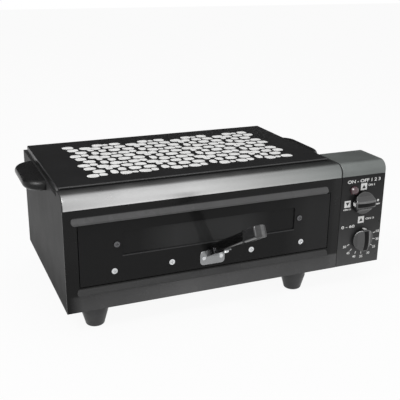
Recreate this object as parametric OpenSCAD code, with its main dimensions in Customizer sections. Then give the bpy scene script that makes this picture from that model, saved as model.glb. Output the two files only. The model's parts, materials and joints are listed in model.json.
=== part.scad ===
// Electric tandoor: a sheet steel oven with a drawer, a lift-off lid and a control box at its right.
// X runs to the right, Y to the back and Z up. The sizes below are measured from the lower front left
// corner of the main body, and the whole is then set on the middle of its own floor plan.

/* [Main body] */
// Width of the main body
body_w = 405; // [380:1:450]
// Depth of the main body
body_d = 275; // [260:1:320]
// Height of the side and back walls
body_h = 151; // [147:1:170]
// Thickness of the steel sheet
sheet = 1.2; // [0.8:0.1:1.6]
// Width of the flange that the lid rests on
flange_w = 16; // [12:1:20]
// Height of the upturned edges of the base
base_edge_h = 12; // [11:1:18]
// Width of a vent slot
slot_w = 5; // [3:0.5:7]
// Distance between two vent slots
slot_pitch = 11; // [9:0.5:14]
// Number of slots in each group of the back
back_slots = 8; // [4:1:9]
// Number of slots in each group of the base
base_slots = 6; // [3:1:7]
// Distance from the middle of the back to each group of its slots
back_slot_side = 87; // [60:1:100]
// Height of the back's slots above the bottom
back_slot_up = 83; // [60:1:95]
// Length of the back's slots
back_slot_l = 26; // [15:1:40]
// Distance from the middle of the base to each group of its slots
base_slot_side = 55; // [50:1:70]
// Length of the base's slots
base_slot_l = 55; // [30:1:90]

/* [Front] */
// How far the flat front stops below the top of the walls
front_drop = 11; // [9:1:13]
// How far the band rises above the top of the walls
band_rise = 7.7; // [5:0.1:12]
// Depth of the band over the front
band_d = 30; // [24:1:34]
// Radius of the rounded top edge of the band and the control box
band_r = 14; // [10:0.5:16]
// Distance from the side of the body to the drawer mouth
mouth_side = 17.5; // [16.5:0.5:24]
// Height of the mouth's lower edge
mouth_low = 34; // [30:0.5:36]
// Height of the mouth
mouth_h = 86; // [82:0.5:90]
// Height of the pressed beads above and below the mouth
bead_h = 9.5; // [7:0.5:10]
// How far the beads stand out
bead_out = 4.5; // [3:0.5:6]
// Height of the upright lower part of a bead
bead_lip = 2.4; // [1:0.1:4]
// Gap between a bead and the mouth
bead_gap = 1; // [0.5:0.1:2]
// Distance from the left side of the body to the upper bead
upper_bead_left = 10; // [6:0.5:20]
// Distance from the right side of the body to the upper bead
upper_bead_right = 24; // [10:0.5:30]
// Distance from the left side of the body to the lower bead
lower_bead_left = 14; // [6:0.5:20]
// Distance from the right side of the body to the lower bead
lower_bead_right = 19; // [10:0.5:30]

/* [Lid] */
// Gap from the side of the body to the side of the lid
lid_side = 3.5; // [2:0.5:6]
// Gap between the band and the front of the lid
lid_front_gap = 4; // [2:0.5:8]
// Gap from the back of the body to the back of the lid
lid_back_gap = 13.5; // [10:0.5:14.5]
// Height of the lid above the flange
lid_h = 10; // [6:0.5:16]
// Radius of the lid's upright corners
lid_corner_r = 3; // [2.5:0.5:10]
// Radius of the lid's upper edges
lid_edge_r = 2; // [1.8:0.1:3]

/* [Carrying handles] */
// Length of a carrying handle
ear_l = 114; // [100:1:130]
// How far a carrying handle stands out from the wall
ear_reach = 28; // [28:0.5:40]
// Thickness of a carrying handle
ear_t = 14.5; // [13:0.5:18]
// Radius of the outer corners of a carrying handle
ear_r = 28; // [20:0.5:28]
// Place of the carrying handles along the depth
ear_y = 151; // [130:1:160]
// How far the middle of a carrying handle lies below the top of the walls
ear_drop = 5.5; // [3:0.5:8]
// Distance between the two screws of a carrying handle
ear_screw_gap = 84; // [60:1:88]
// How far the screws lie below the middle of a carrying handle
ear_screw_down = 2; // [0:0.1:3]
// Length of a carrying handle's screw
ear_screw_l = 10; // [8:0.5:14]
// Length of the finger groove under a carrying handle
ear_groove_l = 62; // [40:1:66]
// Diameter of the finger groove
ear_groove_d = 12; // [8:0.5:14]

/* [Oven] */
// Gap between the wall of the body and the liner
liner_side = 13; // [10:0.5:14]
// Gap between the back of the body and the liner
liner_back = 15; // [14:0.5:15.5]
// Gap between the edges of the base and the liner's floor
liner_up = 2; // [1:0.5:4]
// Thickness of the liner
liner_t = 1; // [0.8:0.1:1.5]
// Diameter of the heating elements
element_d = 7; // [6:0.1:8.5]
// Distance between the runs of an element
element_pitch = 88; // [70:1:92]
// Distance from the front to the front bends' centres
element_front = 74; // [66:1:90]
// Distance from the liner's back to the middle bend's centre
element_back = 62; // [56:1:80]
// How far the upper element lies below the top of the walls
upper_down = 13; // [11:0.5:16]
// Height of the lower element above the liner's floor
lower_up = 11; // [8:0.5:12]
// Diameter of an element's insulator
insulator_d = 15; // [12:0.5:18]
// Thickness of an insulator's flange
insulator_flange = 3; // [2:0.5:5]
// Wall of an insulator's neck
insulator_wall = 1.5; // [1:0.1:2]
// Length of an element's tail behind the liner
tail_l = 6; // [5:0.5:7]
// How far an element's tail stands out of its insulator
tail_bare = 2; // [1:0.5:4]
// Width of the bars that carry the elements
bar_w = 10; // [6:0.5:14]
// Thickness of the bars that carry the elements
bar_t = 2; // [1:0.1:3]
// Gap between an element and the bars under it
bar_gap = 0.3; // [0.2:0.05:0.6]
// Distance from an element's bends to the bars
bar_in = 28; // [20:1:34]

/* [Drawer] */
// Gap around the drawer front in the mouth
drawer_gap = 1; // [0.8:0.1:2]
// Thickness of the drawer front
drawer_t = 2; // [1.2:0.1:3]
// Depth of the turned edges of the drawer front
drawer_edge = 11; // [8:0.5:12]
// Depth of the tray, front to back
tray_d = 238; // [200:1:240]
// Height of the tray
tray_h = 28; // [24:0.5:30]
// Height of the tray above the mouth's lower edge
tray_up = 4; // [3.5:0.1:5]
// Thickness of the tray
tray_t = 1.2; // [0.8:0.1:1.6]
// Width of a runner
runner_w = 14; // [12:0.5:16]
// Gap between the tray's rails and the runner above and below them
runner_gap = 0.3; // [0.2:0.05:0.6]
// Gap beside the tray in the runners
runner_side_gap = 1.5; // [1:0.1:2.5]
// Gap between the side of the mouth and the tray's rails
rail_gap = 1; // [0.6:0.1:2]
// Gap between the edges of the drawer front and the tray's rails
rail_back = 1.5; // [1:0.1:3]
// How far the runners start behind the rails' front and reach past the tray's back
runner_shift = 2; // [1:0.5:5]
// Distance from the middle to the outer screws of the tray
tray_screw_outer = 138.5; // [120:0.5:140]
// Distance from the middle to the inner screws of the tray
tray_screw_inner = 59; // [50:0.5:70]
// Height of the tray's screws above the mouth's lower edge
tray_screw_up = 17.5; // [14:0.5:20]
// Thickness of the grill's wires
wire_d = 3; // [2:0.1:4]
// Thickness of the grill's side wires
side_wire_d = 4; // [3:0.1:5]
// Depth to which the crossing wires are welded together
wire_weld = 1.1; // [0.6:0.1:1.4]
// Distance between the grill's cross wires
wire_pitch = 20; // [12:1:30]
// Height of the grill above the tray's floor
grill_up = 14; // [8:0.5:18]
// Gap between the grill and the tray's walls
grill_gap = 6; // [3:0.5:12]

/* [Window] */
// Width of the window
window_w = 254; // [220:1:256]
// Height of the window
window_h = 33.5; // [28:0.5:36]
// Height of the window above the mouth's lower edge
window_up = 37.5; // [36:0.5:40]
// Radius of the window's corners
window_r = 3; // [2:0.5:6]
// How far the glass laps behind the edge of the window
glass_lap = 3; // [2:0.5:3]
// Thickness of the glass
glass_t = 3; // [2:0.1:4]
// Distance from the end of the window to a clip's screw
clip_screw_side = 7.3; // [7:0.1:9]
// Height of a clip
clip_h = 24; // [16:1:28]
// Thickness of a clip
clip_t = 1.2; // [0.8:0.1:1.6]
// Length of a clip's tongue behind the glass
clip_tongue = 12; // [8:0.5:16]
// Distance from a clip's screw to the clip's outer end
clip_end = 7; // [5:0.5:9]
// Gap between a clip and the end of the glass
clip_gap = 0.3; // [0.2:0.05:0.6]

/* [Drawer handle] */
// Length of the handle
handle_l = 151; // [120:1:180]
// Upward slope of the handle in degrees
handle_tilt = 29.5; // [20:0.5:36]
// Width of the handle at its neck
neck_w = 13.5; // [12:0.5:20]
// Thickness of the handle at its neck
neck_t = 13.5; // [12:0.5:16]
// Width of the handle at its end
grip_w = 16; // [14:0.5:26]
// Thickness of the handle at its end
grip_t = 15.5; // [14:0.5:20]
// Length of the even part at the handle's end
grip_l = 34; // [20:1:60]
// Radius of the handle's edges
handle_r = 2.8; // [2:0.1:5.5]
// Height of the neck above the mouth's lower edge
neck_up = 29; // [27.5:0.5:33]
// Gap between the drawer front and the neck
neck_out = 6; // [5:0.5:8]
// Width of the bracket
bracket_w = 36; // [33:0.5:44]
// Height of the bracket's plate
bracket_h = 20.5; // [18:0.5:22]
// Height of the bracket above the mouth's lower edge
bracket_up = 5.5; // [3:0.5:7]
// Thickness of the bracket
bracket_t = 1.5; // [1:0.1:2]
// Radius of the bracket's lower corners
bracket_r = 5; // [2:0.5:7]
// Length of the bracket's strap under the handle
strap_l = 46; // [34:1:60]
// Width of the strap under the handle
strap_w = 10; // [9:0.5:11.5]
// Length of the bracket's cheeks beside the neck
cheek_l = 19; // [14:0.5:26]
// Gap between the neck and its bracket
cheek_gap = 0.2; // [0.1:0.05:0.4]
// Length over which the neck widens to the grip
grip_taper = 9; // [6:0.5:20]
// Diameter of a rivet's head
rivet_head_d = 5.5; // [5:0.1:6]
// Height of a rivet's head
rivet_head_h = 1.4; // [1:0.1:2]
// Diameter of a rivet
rivet_d = 3.2; // [2.4:0.1:4]
// Diameter of a rivet's tail
rivet_tail_d = 5; // [4.4:0.1:6]
// Height of a rivet's tail
rivet_tail_h = 1.4; // [1:0.1:2]
// Height of the rivets above the bracket's lower edge
rivet_up = 10; // [8:0.5:11]
// Distance between the two rivets of the bracket
rivet_gap = 25.5; // [23:0.5:26]
// Distance from the end of the strap to the handle's screw
strap_screw_in = 7; // [5:0.5:10]
// Depth of the handle's screw in the neck
handle_screw_in = 9; // [6:0.5:10]

/* [Control box] */
// Width of the control box
ctl_w = 75; // [70:1:95]
// Depth of the control box
ctl_d = 65; // [60:1:100]
// Joint between the body and the control panel
ctl_joint = 0.8; // [0.4:0.1:1.5]
// Thickness of the control panel
panel_t = 1.5; // [1:0.1:2.5]
// Distance between the two knobs
knob_gap = 58; // [56:1:64]
// Place of the lower knob to the right of the upper one
timer_side = 4; // [0:0.5:5]
// Diameter of a knob
knob_d = 35; // [32:0.5:36]
// Height of a knob
knob_h = 14.5; // [13:0.5:18]
// Width of the grip across a knob
knob_grip_w = 9; // [7:0.5:12]
// Diameter of a knob next to the panel
knob_foot_d = 29; // [26:0.5:31]
// Height over which a knob widens from its foot
knob_flare = 2.5; // [1.5:0.1:4]
// Thickness of a knob's rim
knob_rim = 5.6; // [5.4:0.1:7]
// Gap between a knob and the panel
knob_gap_y = 0.6; // [0.4:0.1:1.5]
// Radius of a knob's domed top
knob_dome_r = 45; // [38:0.5:80]
// Radius of the hollows beside a knob's grip
scoop_r = 12.5; // [11:0.1:16]
// How far a knob's grip is drawn in at its middle height, at each side
grip_waist = 0.6; // [0:0.1:1]
// Wall of a knob round its hollow
knob_wall = 3; // [2:0.1:5]
// Gap between a bush and the inside of its knob
knob_room = 0.5; // [0.3:0.1:1]
// Thickness of a knob over the end of its shaft
knob_cap = 4; // [3:0.5:6]
// Diameter of a knob's shaft
shaft_d = 6; // [5:0.1:6.4]
// Running clearance of a shaft, on the radius
shaft_gap = 0.05; // [0.02:0.01:0.1]
// Diameter of the threaded bush on a switch
bush_d = 9.4; // [8.5:0.1:10]
// Depth of a shaft's bore behind the front of the panel
shaft_in = 10; // [6:0.5:14]
// Width of the bush's nut across its flats
bush_nut = 14; // [12:0.5:15]
// Thickness of the bush's nut
bush_nut_t = 2.5; // [2:0.1:2.8]
// Side of the selector switch
switch_s = 28; // [24:0.5:28]
// Depth of the selector switch
switch_d = 29; // [24:0.5:34]
// Diameter of the timer
timer_d = 50; // [40:0.5:52]
// Depth of the timer
timer_l = 34; // [26:0.5:38]
// Diameter of the lamp
lamp_d = 13.5; // [9:0.5:14]
// Place of the lamp to the left of the upper knob
lamp_side = 15.5; // [14.5:0.5:18]
// Height of the lamp above the upper knob's axis
lamp_up = 19.6; // [19.5:0.1:24]
// Diameter of the lamp's neck in the panel
lamp_neck = 8; // [6:0.1:8.5]
// Diameter of the lamp's holder
holder_d = 10; // [9:0.1:12]
// Depth of the lamp's holder
holder_l = 22; // [16:0.5:30]
// Diameter of the hole in the cord gland
gland_bore = 7.5; // [6:0.5:9]
// Wall of the cord gland's neck
gland_wall = 2.5; // [2:0.1:4]
// How far the cord gland's flanges stand out round its neck
gland_rim = 3; // [2:0.1:5]
// Thickness of the cord gland's flanges
gland_lip = 3; // [2:0.1:4]
// Height of the cord gland above the bottom
gland_up = 28; // [20:1:40]

/* [Wiring] */
// Diameter of the wire pass between the body and the control box
pass_d = 14; // [13:0.5:18]
// Distance from the front to the wire pass
pass_back = 40.5; // [36:0.5:44]
// Height of the wire pass above the bottom
pass_up = 77; // [72:1:82]
// Wall of the grommet in the wire pass
grommet_wall = 2; // [1.5:0.1:2.5]
// How far the grommet's flanges stand out round the wire pass
grommet_rim = 2; // [1:0.1:4]
// Thickness of the grommet's flanges
grommet_lip = 1.5; // [1:0.1:2.5]
// Diameter of a lead
lead_d = 2.6; // [2:0.1:2.8]
// Radius of a lead's bends, to its middle
lead_bend_r = 1.6; // [1.5:0.1:1.7]
// Distance of a lead from the middle of the wire pass, each way
lead_off = 1.6; // [1.5:0.1:2]
// Distance from the liner or an element's tail to the nearer lead's middle
lead_out = 2; // [1.8:0.1:2.6]
// Distance from the body's side to the farther turn of the leads
lead_turn = 10; // [9:0.5:14]
// Distance between the two turns of the leads
turn_step = 4; // [3.5:0.1:5]
// Distance from the front of the terminal block to the nearer leads
seat_in = 3; // [2:0.5:4]
// Distance between the leads on the terminal block
seat_step = 5; // [3.5:0.5:7]
// Width of the terminal block
block_w = 34; // [26:1:40]
// Depth of the terminal block
block_d = 12; // [10:0.5:14]
// Height of the terminal block
block_h = 14; // [12:0.5:20]
// Distance from the terminal block to the bends of the panel's leads
panel_bend = 6; // [4:0.5:8]
// Height of the panel's leads above or below the middle of the terminal block
panel_lead_up = 3; // [2:0.1:5]
// Place of the switch's lead to the right of its axis
switch_lead_x = 4; // [2:0.5:10]
// Place of the switch's lead below its axis
switch_lead_down = 6; // [3:0.5:10]
// Place of the timer's lead to the right of the upper knob's axis
timer_lead_x = 10; // [5:0.5:14]
// Place of the timer's lead above its axis
timer_lead_up = 10; // [5:0.5:14]

/* [Feet] */
// Height of a foot
foot_h = 30; // [24:1:40]
// Diameter of a foot at its top
foot_top_d = 36; // [30:0.5:40]
// Diameter of a foot at its bottom
foot_low_d = 26; // [22:0.5:30]
// Height of the straight rim at the top of a foot
foot_rim = 9; // [5:0.5:12]
// Radius of a foot's lower edge
foot_edge_r = 3; // [1:0.5:4]
// Distance from the left side to the left feet
foot_left = 41; // [30:1:60]
// Distance from the right side of the body to the right feet
foot_right = 61; // [30:1:70]
// Distance from the front or the back to the feet
foot_inset = 21; // [20:0.5:40]
// Diameter of the recess for a foot's screw
foot_bore = 12; // [10:0.5:14]
// Depth of the recess for a foot's screw
foot_recess = 16.5; // [10:0.5:18]

/* [Fasteners] */
// Diameter of the screws
screw_d = 4; // [3:0.1:4.5]
// Clearance of a screw in its hole, on the radius
screw_gap = 0.15; // [0.1:0.05:0.3]
// Diameter of a screw's head
head_d = 8; // [6.5:0.1:8.5]
// Height of a screw's head
head_h = 2.6; // [2:0.1:3]
// Width of a nut across its flats
nut_w = 7; // [6.5:0.1:8]
// Thickness of a nut
nut_t = 3; // [2:0.1:4]
// How far a thread stands out past what it holds
thread_out = 1; // [0.5:0.1:1.5]
// Room past the end of a screw or shaft in a blind hole
blind_room = 0.5; // [0.3:0.1:1]
// Clearance of a fixed round piece in its hole, on the radius
fixed_gap = 0.2; // [0.1:0.05:0.3]
// Distance from the side of the body to the outer screws of the back
back_screw_in = 32; // [20:1:60]
// Height of the back's screws above the bottom
back_screw_up = 6.6; // [5.5:0.1:6.8]
// Length of the back's screws
back_screw_l = 7; // [5:0.5:8]

/* [Hidden] */
$fn = 64;

mid_x = body_w / 2;
front_h = body_h - front_drop;
band_top = body_h + band_rise;
mouth_top = mouth_low + mouth_h;
mouth_right = body_w - mouth_side;
hole_d = screw_d + 2 * screw_gap;
bead_end_r = bead_h * 0.45;
ear_screw_z = body_h - ear_drop - ear_screw_down;
past = 1;

// Liner and elements
liner_in = liner_side + liner_t;
liner_right = body_w - liner_in;
liner_rear = body_d - liner_back;
liner_low = base_edge_h + liner_up;
liner_floor = liner_low + liner_t;
upper_z = body_h - upper_down;
lower_z = liner_floor + lower_up;
run_offsets = [-1.5, -0.5, 0.5, 1.5] * element_pitch;
insulator_bore = element_d + 2 * fixed_gap;
insulator_neck = insulator_bore + 2 * insulator_wall;
insulator_hole = insulator_neck + 2 * fixed_gap;
back_bend = liner_rear - element_back;
bar_ys = [element_front + bar_in, back_bend - bar_in - bar_w];

// Drawer
front_low = mouth_low + drawer_gap;
front_top = mouth_top - drawer_gap;
front_left = mouth_side + drawer_gap;
front_right = body_w - front_left;
tray_left = liner_in + runner_w + runner_side_gap;
tray_right = body_w - tray_left;
tray_low = mouth_low + tray_up;
tray_top = tray_low + tray_h;
tray_rear = drawer_t + tray_d;
rail_left = mouth_side + rail_gap;
rail_front = drawer_t + drawer_edge + rail_back;
runner_front = rail_front + runner_shift;
runner_rear = tray_rear + runner_shift;
runner_low = tray_top - tray_t - runner_gap - sheet;
runner_top = tray_top + runner_gap + sheet;
tray_screw_z = mouth_low + tray_screw_up;
tray_screw_xs = [for (s = [-1, 1], d = [tray_screw_outer, tray_screw_inner]) mid_x + s * d];
window_low = mouth_low + window_up;
window_mid = window_low + window_h / 2;
window_left = mid_x - window_w / 2;
clip_screw_x = window_w / 2 + clip_screw_side;
glass_end = window_w / 2 + glass_lap;

// Drawer handle
neck_z = mouth_low + neck_up;
rivet_z = mouth_low + bracket_up + rivet_up;
rivet_hole = rivet_d + 2 * screw_gap;
taper_u = handle_l - grip_l - grip_taper;
strap_screw_u = strap_l - strap_screw_in;
tip_along = (handle_l - handle_r) * cos(handle_tilt);
tip_across = (grip_t / 2 - handle_r) * sin(handle_tilt);
tip_y = -neck_out - tip_along - tip_across - handle_r;

// Control box
ctl_left = body_w + ctl_joint;
ctl_right = body_w + ctl_w;
knob_x = body_w + ctl_w / 2;
timer_x = knob_x + timer_side;
selector_z = front_h / 2 + knob_gap / 2;
timer_z = front_h / 2 - knob_gap / 2;
knob_axes = [[knob_x, selector_z], [timer_x, timer_z]];
lamp_x = knob_x - lamp_side;
lamp_z = selector_z + lamp_up;
bush_out = bush_nut_t + thread_out;
bush_hole = bush_d + 2 * fixed_gap;
knob_cavity = bush_out + knob_room;
shaft_tip = knob_gap_y + knob_h - knob_cap;
gland_neck = gland_bore + 2 * gland_wall;
gland_flange = gland_neck + 2 * gland_rim;
block_left = knob_x - block_w / 2;
block_front = ctl_d - sheet - block_d;

// Feet and back
foot_xs = [foot_left, body_w - foot_right];
foot_ys = [foot_inset, body_d - foot_inset];
back_screw_xs = [back_screw_in, mid_x, body_w - back_screw_in];

// Corners of the whole, from which its middle is taken
x_min = -ear_reach;
x_max = ctl_right;
y_min = tip_y;
y_max = body_d + head_h;

module placed() {
    translate([-(x_min + x_max) / 2, -(y_min + y_max) / 2, foot_h]) children();
}

// A block between two opposite corners
module block(a, b) {
    translate(a) cube(b - a);
}

// Round bars that start at a point and run along one axis
module bar_x(p, d, l) {
    translate(p) rotate([0, 90, 0]) cylinder(d = d, h = l);
}

module bar_y(p, d, l) {
    translate(p) rotate([-90, 0, 0]) cylinder(d = d, h = l);
}

module bar_z(p, d, l) {
    translate(p) cylinder(d = d, h = l);
}

// An upright outline seen from the front, extruded along the depth
module front_prism(y0, y1) {
    translate([0, y1, 0]) rotate([90, 0, 0]) linear_extrude(y1 - y0) children();
}

// An outline seen from the side, extruded along the width
module side_prism(x0, x1) {
    translate([x0, 0, 0]) rotate([90, 0, 90]) linear_extrude(x1 - x0) children();
}

// A flat rectangle with round corners
module round_rect(a, b, r) {
    translate([a.x + r, a.y]) square([b.x - a.x - 2 * r, b.y - a.y]);
    translate([a.x, a.y + r]) square([b.x - a.x, b.y - a.y - 2 * r]);
    for (x = [a.x + r, b.x - r], y = [a.y + r, b.y - r]) translate([x, y]) circle(r);
}

// A flat rectangle that is round only at its upper corners
module arch_rect(a, b, r) {
    translate(a) square([b.x - a.x, b.y - a.y - r]);
    translate([a.x + r, a.y]) square([b.x - a.x - 2 * r, b.y - a.y]);
    for (x = [a.x + r, b.x - r]) translate([x, b.y - r]) circle(r);
}

module mirrored_x() {
    translate([body_w, 0, 0]) mirror([1, 0, 0]) children();
}

// A low dome that stands out along -Y
module dome_head(d, h) {
    rotate([90, 0, 0]) rotate_extrude() intersection() {
        translate([0, h - d]) circle(d);
        square([d / 2, h]);
    }
}

// A pan head screw that points along +Y, with its head in front of the point
module pan_screw(p, l) {
    bar_y(p, screw_d, l);
    translate(p) dome_head(head_d, head_h);
}

module hex_nut_y(p, across, t, bore) {
    translate(p) rotate([-90, 0, 0]) difference() {
        cylinder(d = across / cos(30), h = t, $fn = 6);
        translate([0, 0, -past]) cylinder(d = bore, h = t + 2 * past);
    }
}

// Case

// A row of upright slots with round ends about a middle
module slot_row(middle, count, low, l) {
    for (i = [0 : count - 1]) {
        x = middle + (i - (count - 1) / 2) * slot_pitch;
        translate([x - slot_w / 2, low + slot_w / 2]) square([slot_w, l - slot_w]);
        for (y = [low + slot_w / 2, low + l - slot_w / 2]) translate([x, y]) circle(d = slot_w);
    }
}

module ear_screw_holes() {
    for (s = [-0.5, 0.5])
        bar_x([-past, ear_y + s * ear_screw_gap, ear_screw_z], hole_d, sheet + 2 * past);
}

module outer_shell() {
    color("#1d1d1f") difference() {
        union() {
            block([0, sheet, 0], [sheet, body_d, body_h]);
            block([body_w - sheet, sheet, 0], [body_w, body_d, body_h]);
            block([0, body_d - sheet, 0], [body_w, body_d, body_h]);
            block([0, band_d, body_h - sheet], [flange_w, body_d, body_h]);
            block([body_w - flange_w, band_d, body_h - sheet], [body_w, body_d, body_h]);
            block([0, body_d - flange_w, body_h - sheet], [body_w, body_d, body_h]);
            side_prism(0, sheet) header_outline(band_d, 0);
            side_prism(body_w - sheet, body_w) header_outline(band_d, 0);
        }
        front_prism(body_d - sheet - past, body_d + past) {
            slot_row(mid_x - back_slot_side, back_slots, back_slot_up, back_slot_l);
            slot_row(mid_x + back_slot_side, back_slots, back_slot_up, back_slot_l);
        }
        for (x = back_screw_xs) bar_y([x, body_d - sheet - past, back_screw_up], hole_d, sheet + 2 * past);
        ear_screw_holes();
        mirrored_x() ear_screw_holes();
        bar_x([body_w - sheet - past, pass_back, pass_up], pass_d, sheet + 2 * past);
    }
}

module base_plate() {
    color("#2a2a2c") difference() {
        block([sheet, sheet, 0], [body_w - sheet, body_d - sheet, base_edge_h]);
        block([2 * sheet, 2 * sheet, sheet], [body_w - 2 * sheet, body_d - 2 * sheet, base_edge_h + past]);
        for (x = foot_xs, y = foot_ys) bar_z([x, y, -past], hole_d, sheet + 2 * past);
        for (x = back_screw_xs)
            bar_y([x, body_d - 2 * sheet - past, back_screw_up], hole_d, sheet + 2 * past);
        for (s = [-1, 1])
            translate([0, 0, -past]) linear_extrude(sheet + 2 * past)
                slot_row(mid_x + s * base_slot_side, base_slots, (body_d - base_slot_l) / 2, base_slot_l);
    }
}

// A pressed bead between two ends: a face that slopes out and down, under a rounded outline
module bead(left, right, low) {
    intersection() {
        side_prism(left, right)
            polygon([[0, low], [-bead_out, low], [-bead_out, low + bead_lip], [0, low + bead_h]]);
        front_prism(-bead_out, 0) round_rect([left, low], [right, low + bead_h], bead_end_r);
    }
}

module front_panel() {
    color("#1b1b1d") {
        front_prism(0, sheet) difference() {
            square([body_w, front_h]);
            translate([mouth_side, mouth_low]) square([mouth_right - mouth_side, mouth_h]);
        }
        bead(upper_bead_left, body_w - upper_bead_right, mouth_top + bead_gap);
        bead(lower_bead_left, body_w - lower_bead_right, mouth_low - bead_gap - bead_h);
    }
}

// The outline of a rounded header from the side, shrunk by a skin
module header_outline(depth, skin) {
    r = band_r - skin;
    top = band_top - skin;
    low = skin == 0 ? front_h : front_h - past;
    intersection() {
        translate([skin, low]) square([depth - 2 * skin, top - low]);
        union() {
            translate([skin, low]) square([depth, top - r - low]);
            translate([band_r, low]) square([depth, top - low]);
            translate([band_r, top - r]) circle(r);
        }
    }
}

// A hollow header, closed at its ends
module header(x0, x1, depth) {
    difference() {
        side_prism(x0, x1) header_outline(depth, 0);
        side_prism(x0 + sheet, x1 - sheet) header_outline(depth, sheet);
    }
}

module front_band() {
    color("#b9bbb8") {
        difference() {
            header(sheet, body_w - sheet, band_d);
            block([2 * sheet, band_d - sheet - past, front_h - past],
                [body_w - 2 * sheet, band_d + past, body_h - sheet]);
        }
        block([flange_w, band_d - sheet, body_h - sheet],
            [body_w - flange_w, band_d + flange_w, body_h]);
    }
}

module oven_liner() {
    color("#8d9092") difference() {
        block([liner_side, sheet, liner_low], [body_w - liner_side, liner_rear, body_h - sheet]);
        block([liner_in, 0, liner_floor], [liner_right, liner_rear - liner_t, body_h]);
        block([0, 0, front_h], [body_w, band_d, body_h]);
        for (i = [0, 3], z = [upper_z, lower_z])
            bar_y([mid_x + run_offsets[i], liner_rear - liner_t - past, z], insulator_hole,
                liner_t + 2 * past);
    }
}

module left_runner() {
    color("#9a9c9e") {
        block([liner_in, runner_front, runner_low], [liner_in + runner_w, runner_rear, runner_low + sheet]);
        block([liner_in, runner_front, runner_top - sheet], [liner_in + runner_w, runner_rear, runner_top]);
        block([liner_in, runner_front, runner_low], [liner_in + sheet, runner_rear, runner_top]);
    }
}

module right_runner() {
    mirrored_x() left_runner();
}

// A tube that runs to and fro between three bends and ends behind the liner
module element(z) {
    for (i = [0 : 3]) {
        stop = i == 0 || i == 3 ? liner_rear + tail_l : back_bend;
        bar_y([mid_x + run_offsets[i], element_front, z], element_d, stop - element_front);
    }
    for (i = [-1, 1])
        translate([mid_x + i * element_pitch, element_front, z]) rotate(180)
            rotate_extrude(angle = 180) translate([element_pitch / 2, 0]) circle(d = element_d);
    translate([mid_x, back_bend, z])
        rotate_extrude(angle = 180) translate([element_pitch / 2, 0]) circle(d = element_d);
}

module upper_element() {
    color("#54504c") element(upper_z);
}

module lower_element() {
    color("#54504c") element(lower_z);
}

module element_bars() {
    color("#7d8082")
        for (z = [upper_z, lower_z], y = bar_ys) {
            top = z - element_d / 2 - bar_gap;
            block([liner_in, y, top - bar_t], [liner_right, y + bar_w, top]);
        }
}

module element_insulators() {
    color("#e8e2d4")
        for (i = [0, 3], z = [upper_z, lower_z])
            translate([mid_x + run_offsets[i], liner_rear - liner_t, z]) rotate([-90, 0, 0]) difference() {
                union() {
                    translate([0, 0, -insulator_flange]) cylinder(d = insulator_d, h = insulator_flange);
                    cylinder(d = insulator_neck, h = liner_t + tail_l - tail_bare);
                }
                translate([0, 0, -insulator_flange - past])
                    cylinder(d = insulator_bore, h = insulator_flange + liner_t + tail_l + 2 * past);
            }
}

// Half of the section through a carrying handle, up to its full round edge
module ear_section(reach) {
    translate([0, -ear_t / 2]) square([reach - ear_t / 2, ear_t]);
    translate([reach - ear_t / 2, 0]) circle(d = ear_t);
}

module left_carry_handle() {
    corner_x = -(ear_reach - ear_r);
    corner_y = ear_l / 2 - ear_r;
    screw_space = ear_screw_l + blind_room;
    color("#141415") translate([0, ear_y, body_h - ear_drop]) difference() {
        union() {
            for (s = [-1, 1]) translate([corner_x, s * corner_y, 0]) rotate_extrude() ear_section(ear_r);
            front_prism(-corner_y, corner_y) mirror([1, 0]) ear_section(ear_reach);
        }
        block([0, -ear_l, -ear_t], [2 * ear_r, ear_l, ear_t]);
        bar_y([-ear_reach * 0.5, -ear_groove_l / 2, -ear_t / 2], ear_groove_d, ear_groove_l);
        for (s = [-1, 1]) {
            translate([-ear_reach * 0.5, s * ear_groove_l / 2, -ear_t / 2]) sphere(d = ear_groove_d);
            bar_x([sheet - screw_space, s * ear_screw_gap / 2, -ear_screw_down], hole_d, screw_space);
        }
    }
}

module right_carry_handle() {
    mirrored_x() left_carry_handle();
}

module ear_screws() {
    for (s = [-0.5, 0.5])
        translate([sheet, ear_y + s * ear_screw_gap, ear_screw_z]) rotate([0, 0, 90])
            pan_screw([0, 0, 0], ear_screw_l);
}

module carry_handle_screws() {
    color("#b5b7b9") {
        ear_screws();
        mirrored_x() ear_screws();
    }
}

// Control box

module control_box_shell() {
    color("#202022") difference() {
        block([body_w, panel_t, 0], [ctl_right, ctl_d, front_h]);
        block([body_w - past, 0, sheet], [ctl_right - sheet, ctl_d - sheet, front_h + past]);
        bar_y([knob_x, ctl_d - sheet - past, gland_up], gland_neck + 2 * fixed_gap, sheet + 2 * past);
    }
}

module control_box_cover() {
    color("#6c706d") header(ctl_left, ctl_right, ctl_d);
}

module control_panel() {
    color("#232325") difference() {
        block([ctl_left, 0, 0], [ctl_right, panel_t, front_h]);
        for (axis = knob_axes) bar_y([axis.x, -past, axis.y], bush_hole, panel_t + 2 * past);
        bar_y([lamp_x, -past, lamp_z], lamp_neck + 2 * fixed_gap, panel_t + 2 * past);
    }
}

// The bush of a switch, with the bore that its shaft turns in
module bushed(axis) {
    difference() {
        union() {
            bar_y([axis.x, -bush_out, axis.y], bush_d, bush_out + panel_t);
            children();
        }
        bar_y([axis.x, -bush_out - past, axis.y], shaft_d + 2 * shaft_gap, bush_out + past + shaft_in);
    }
}

module selector_switch() {
    color("#4a3a2c") bushed(knob_axes[0])
        block([knob_x - switch_s / 2, panel_t, selector_z - switch_s / 2],
            [knob_x + switch_s / 2, panel_t + switch_d, selector_z + switch_s / 2]);
}

module timer_unit() {
    color("#a9abac") bushed(knob_axes[1]) bar_y([timer_x, panel_t, timer_z], timer_d, timer_l);
}

module panel_nuts() {
    color("#c4c6c7")
        for (axis = knob_axes)
            hex_nut_y([axis.x, -bush_nut_t, axis.y], bush_nut, bush_nut_t, bush_hole);
}

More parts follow.
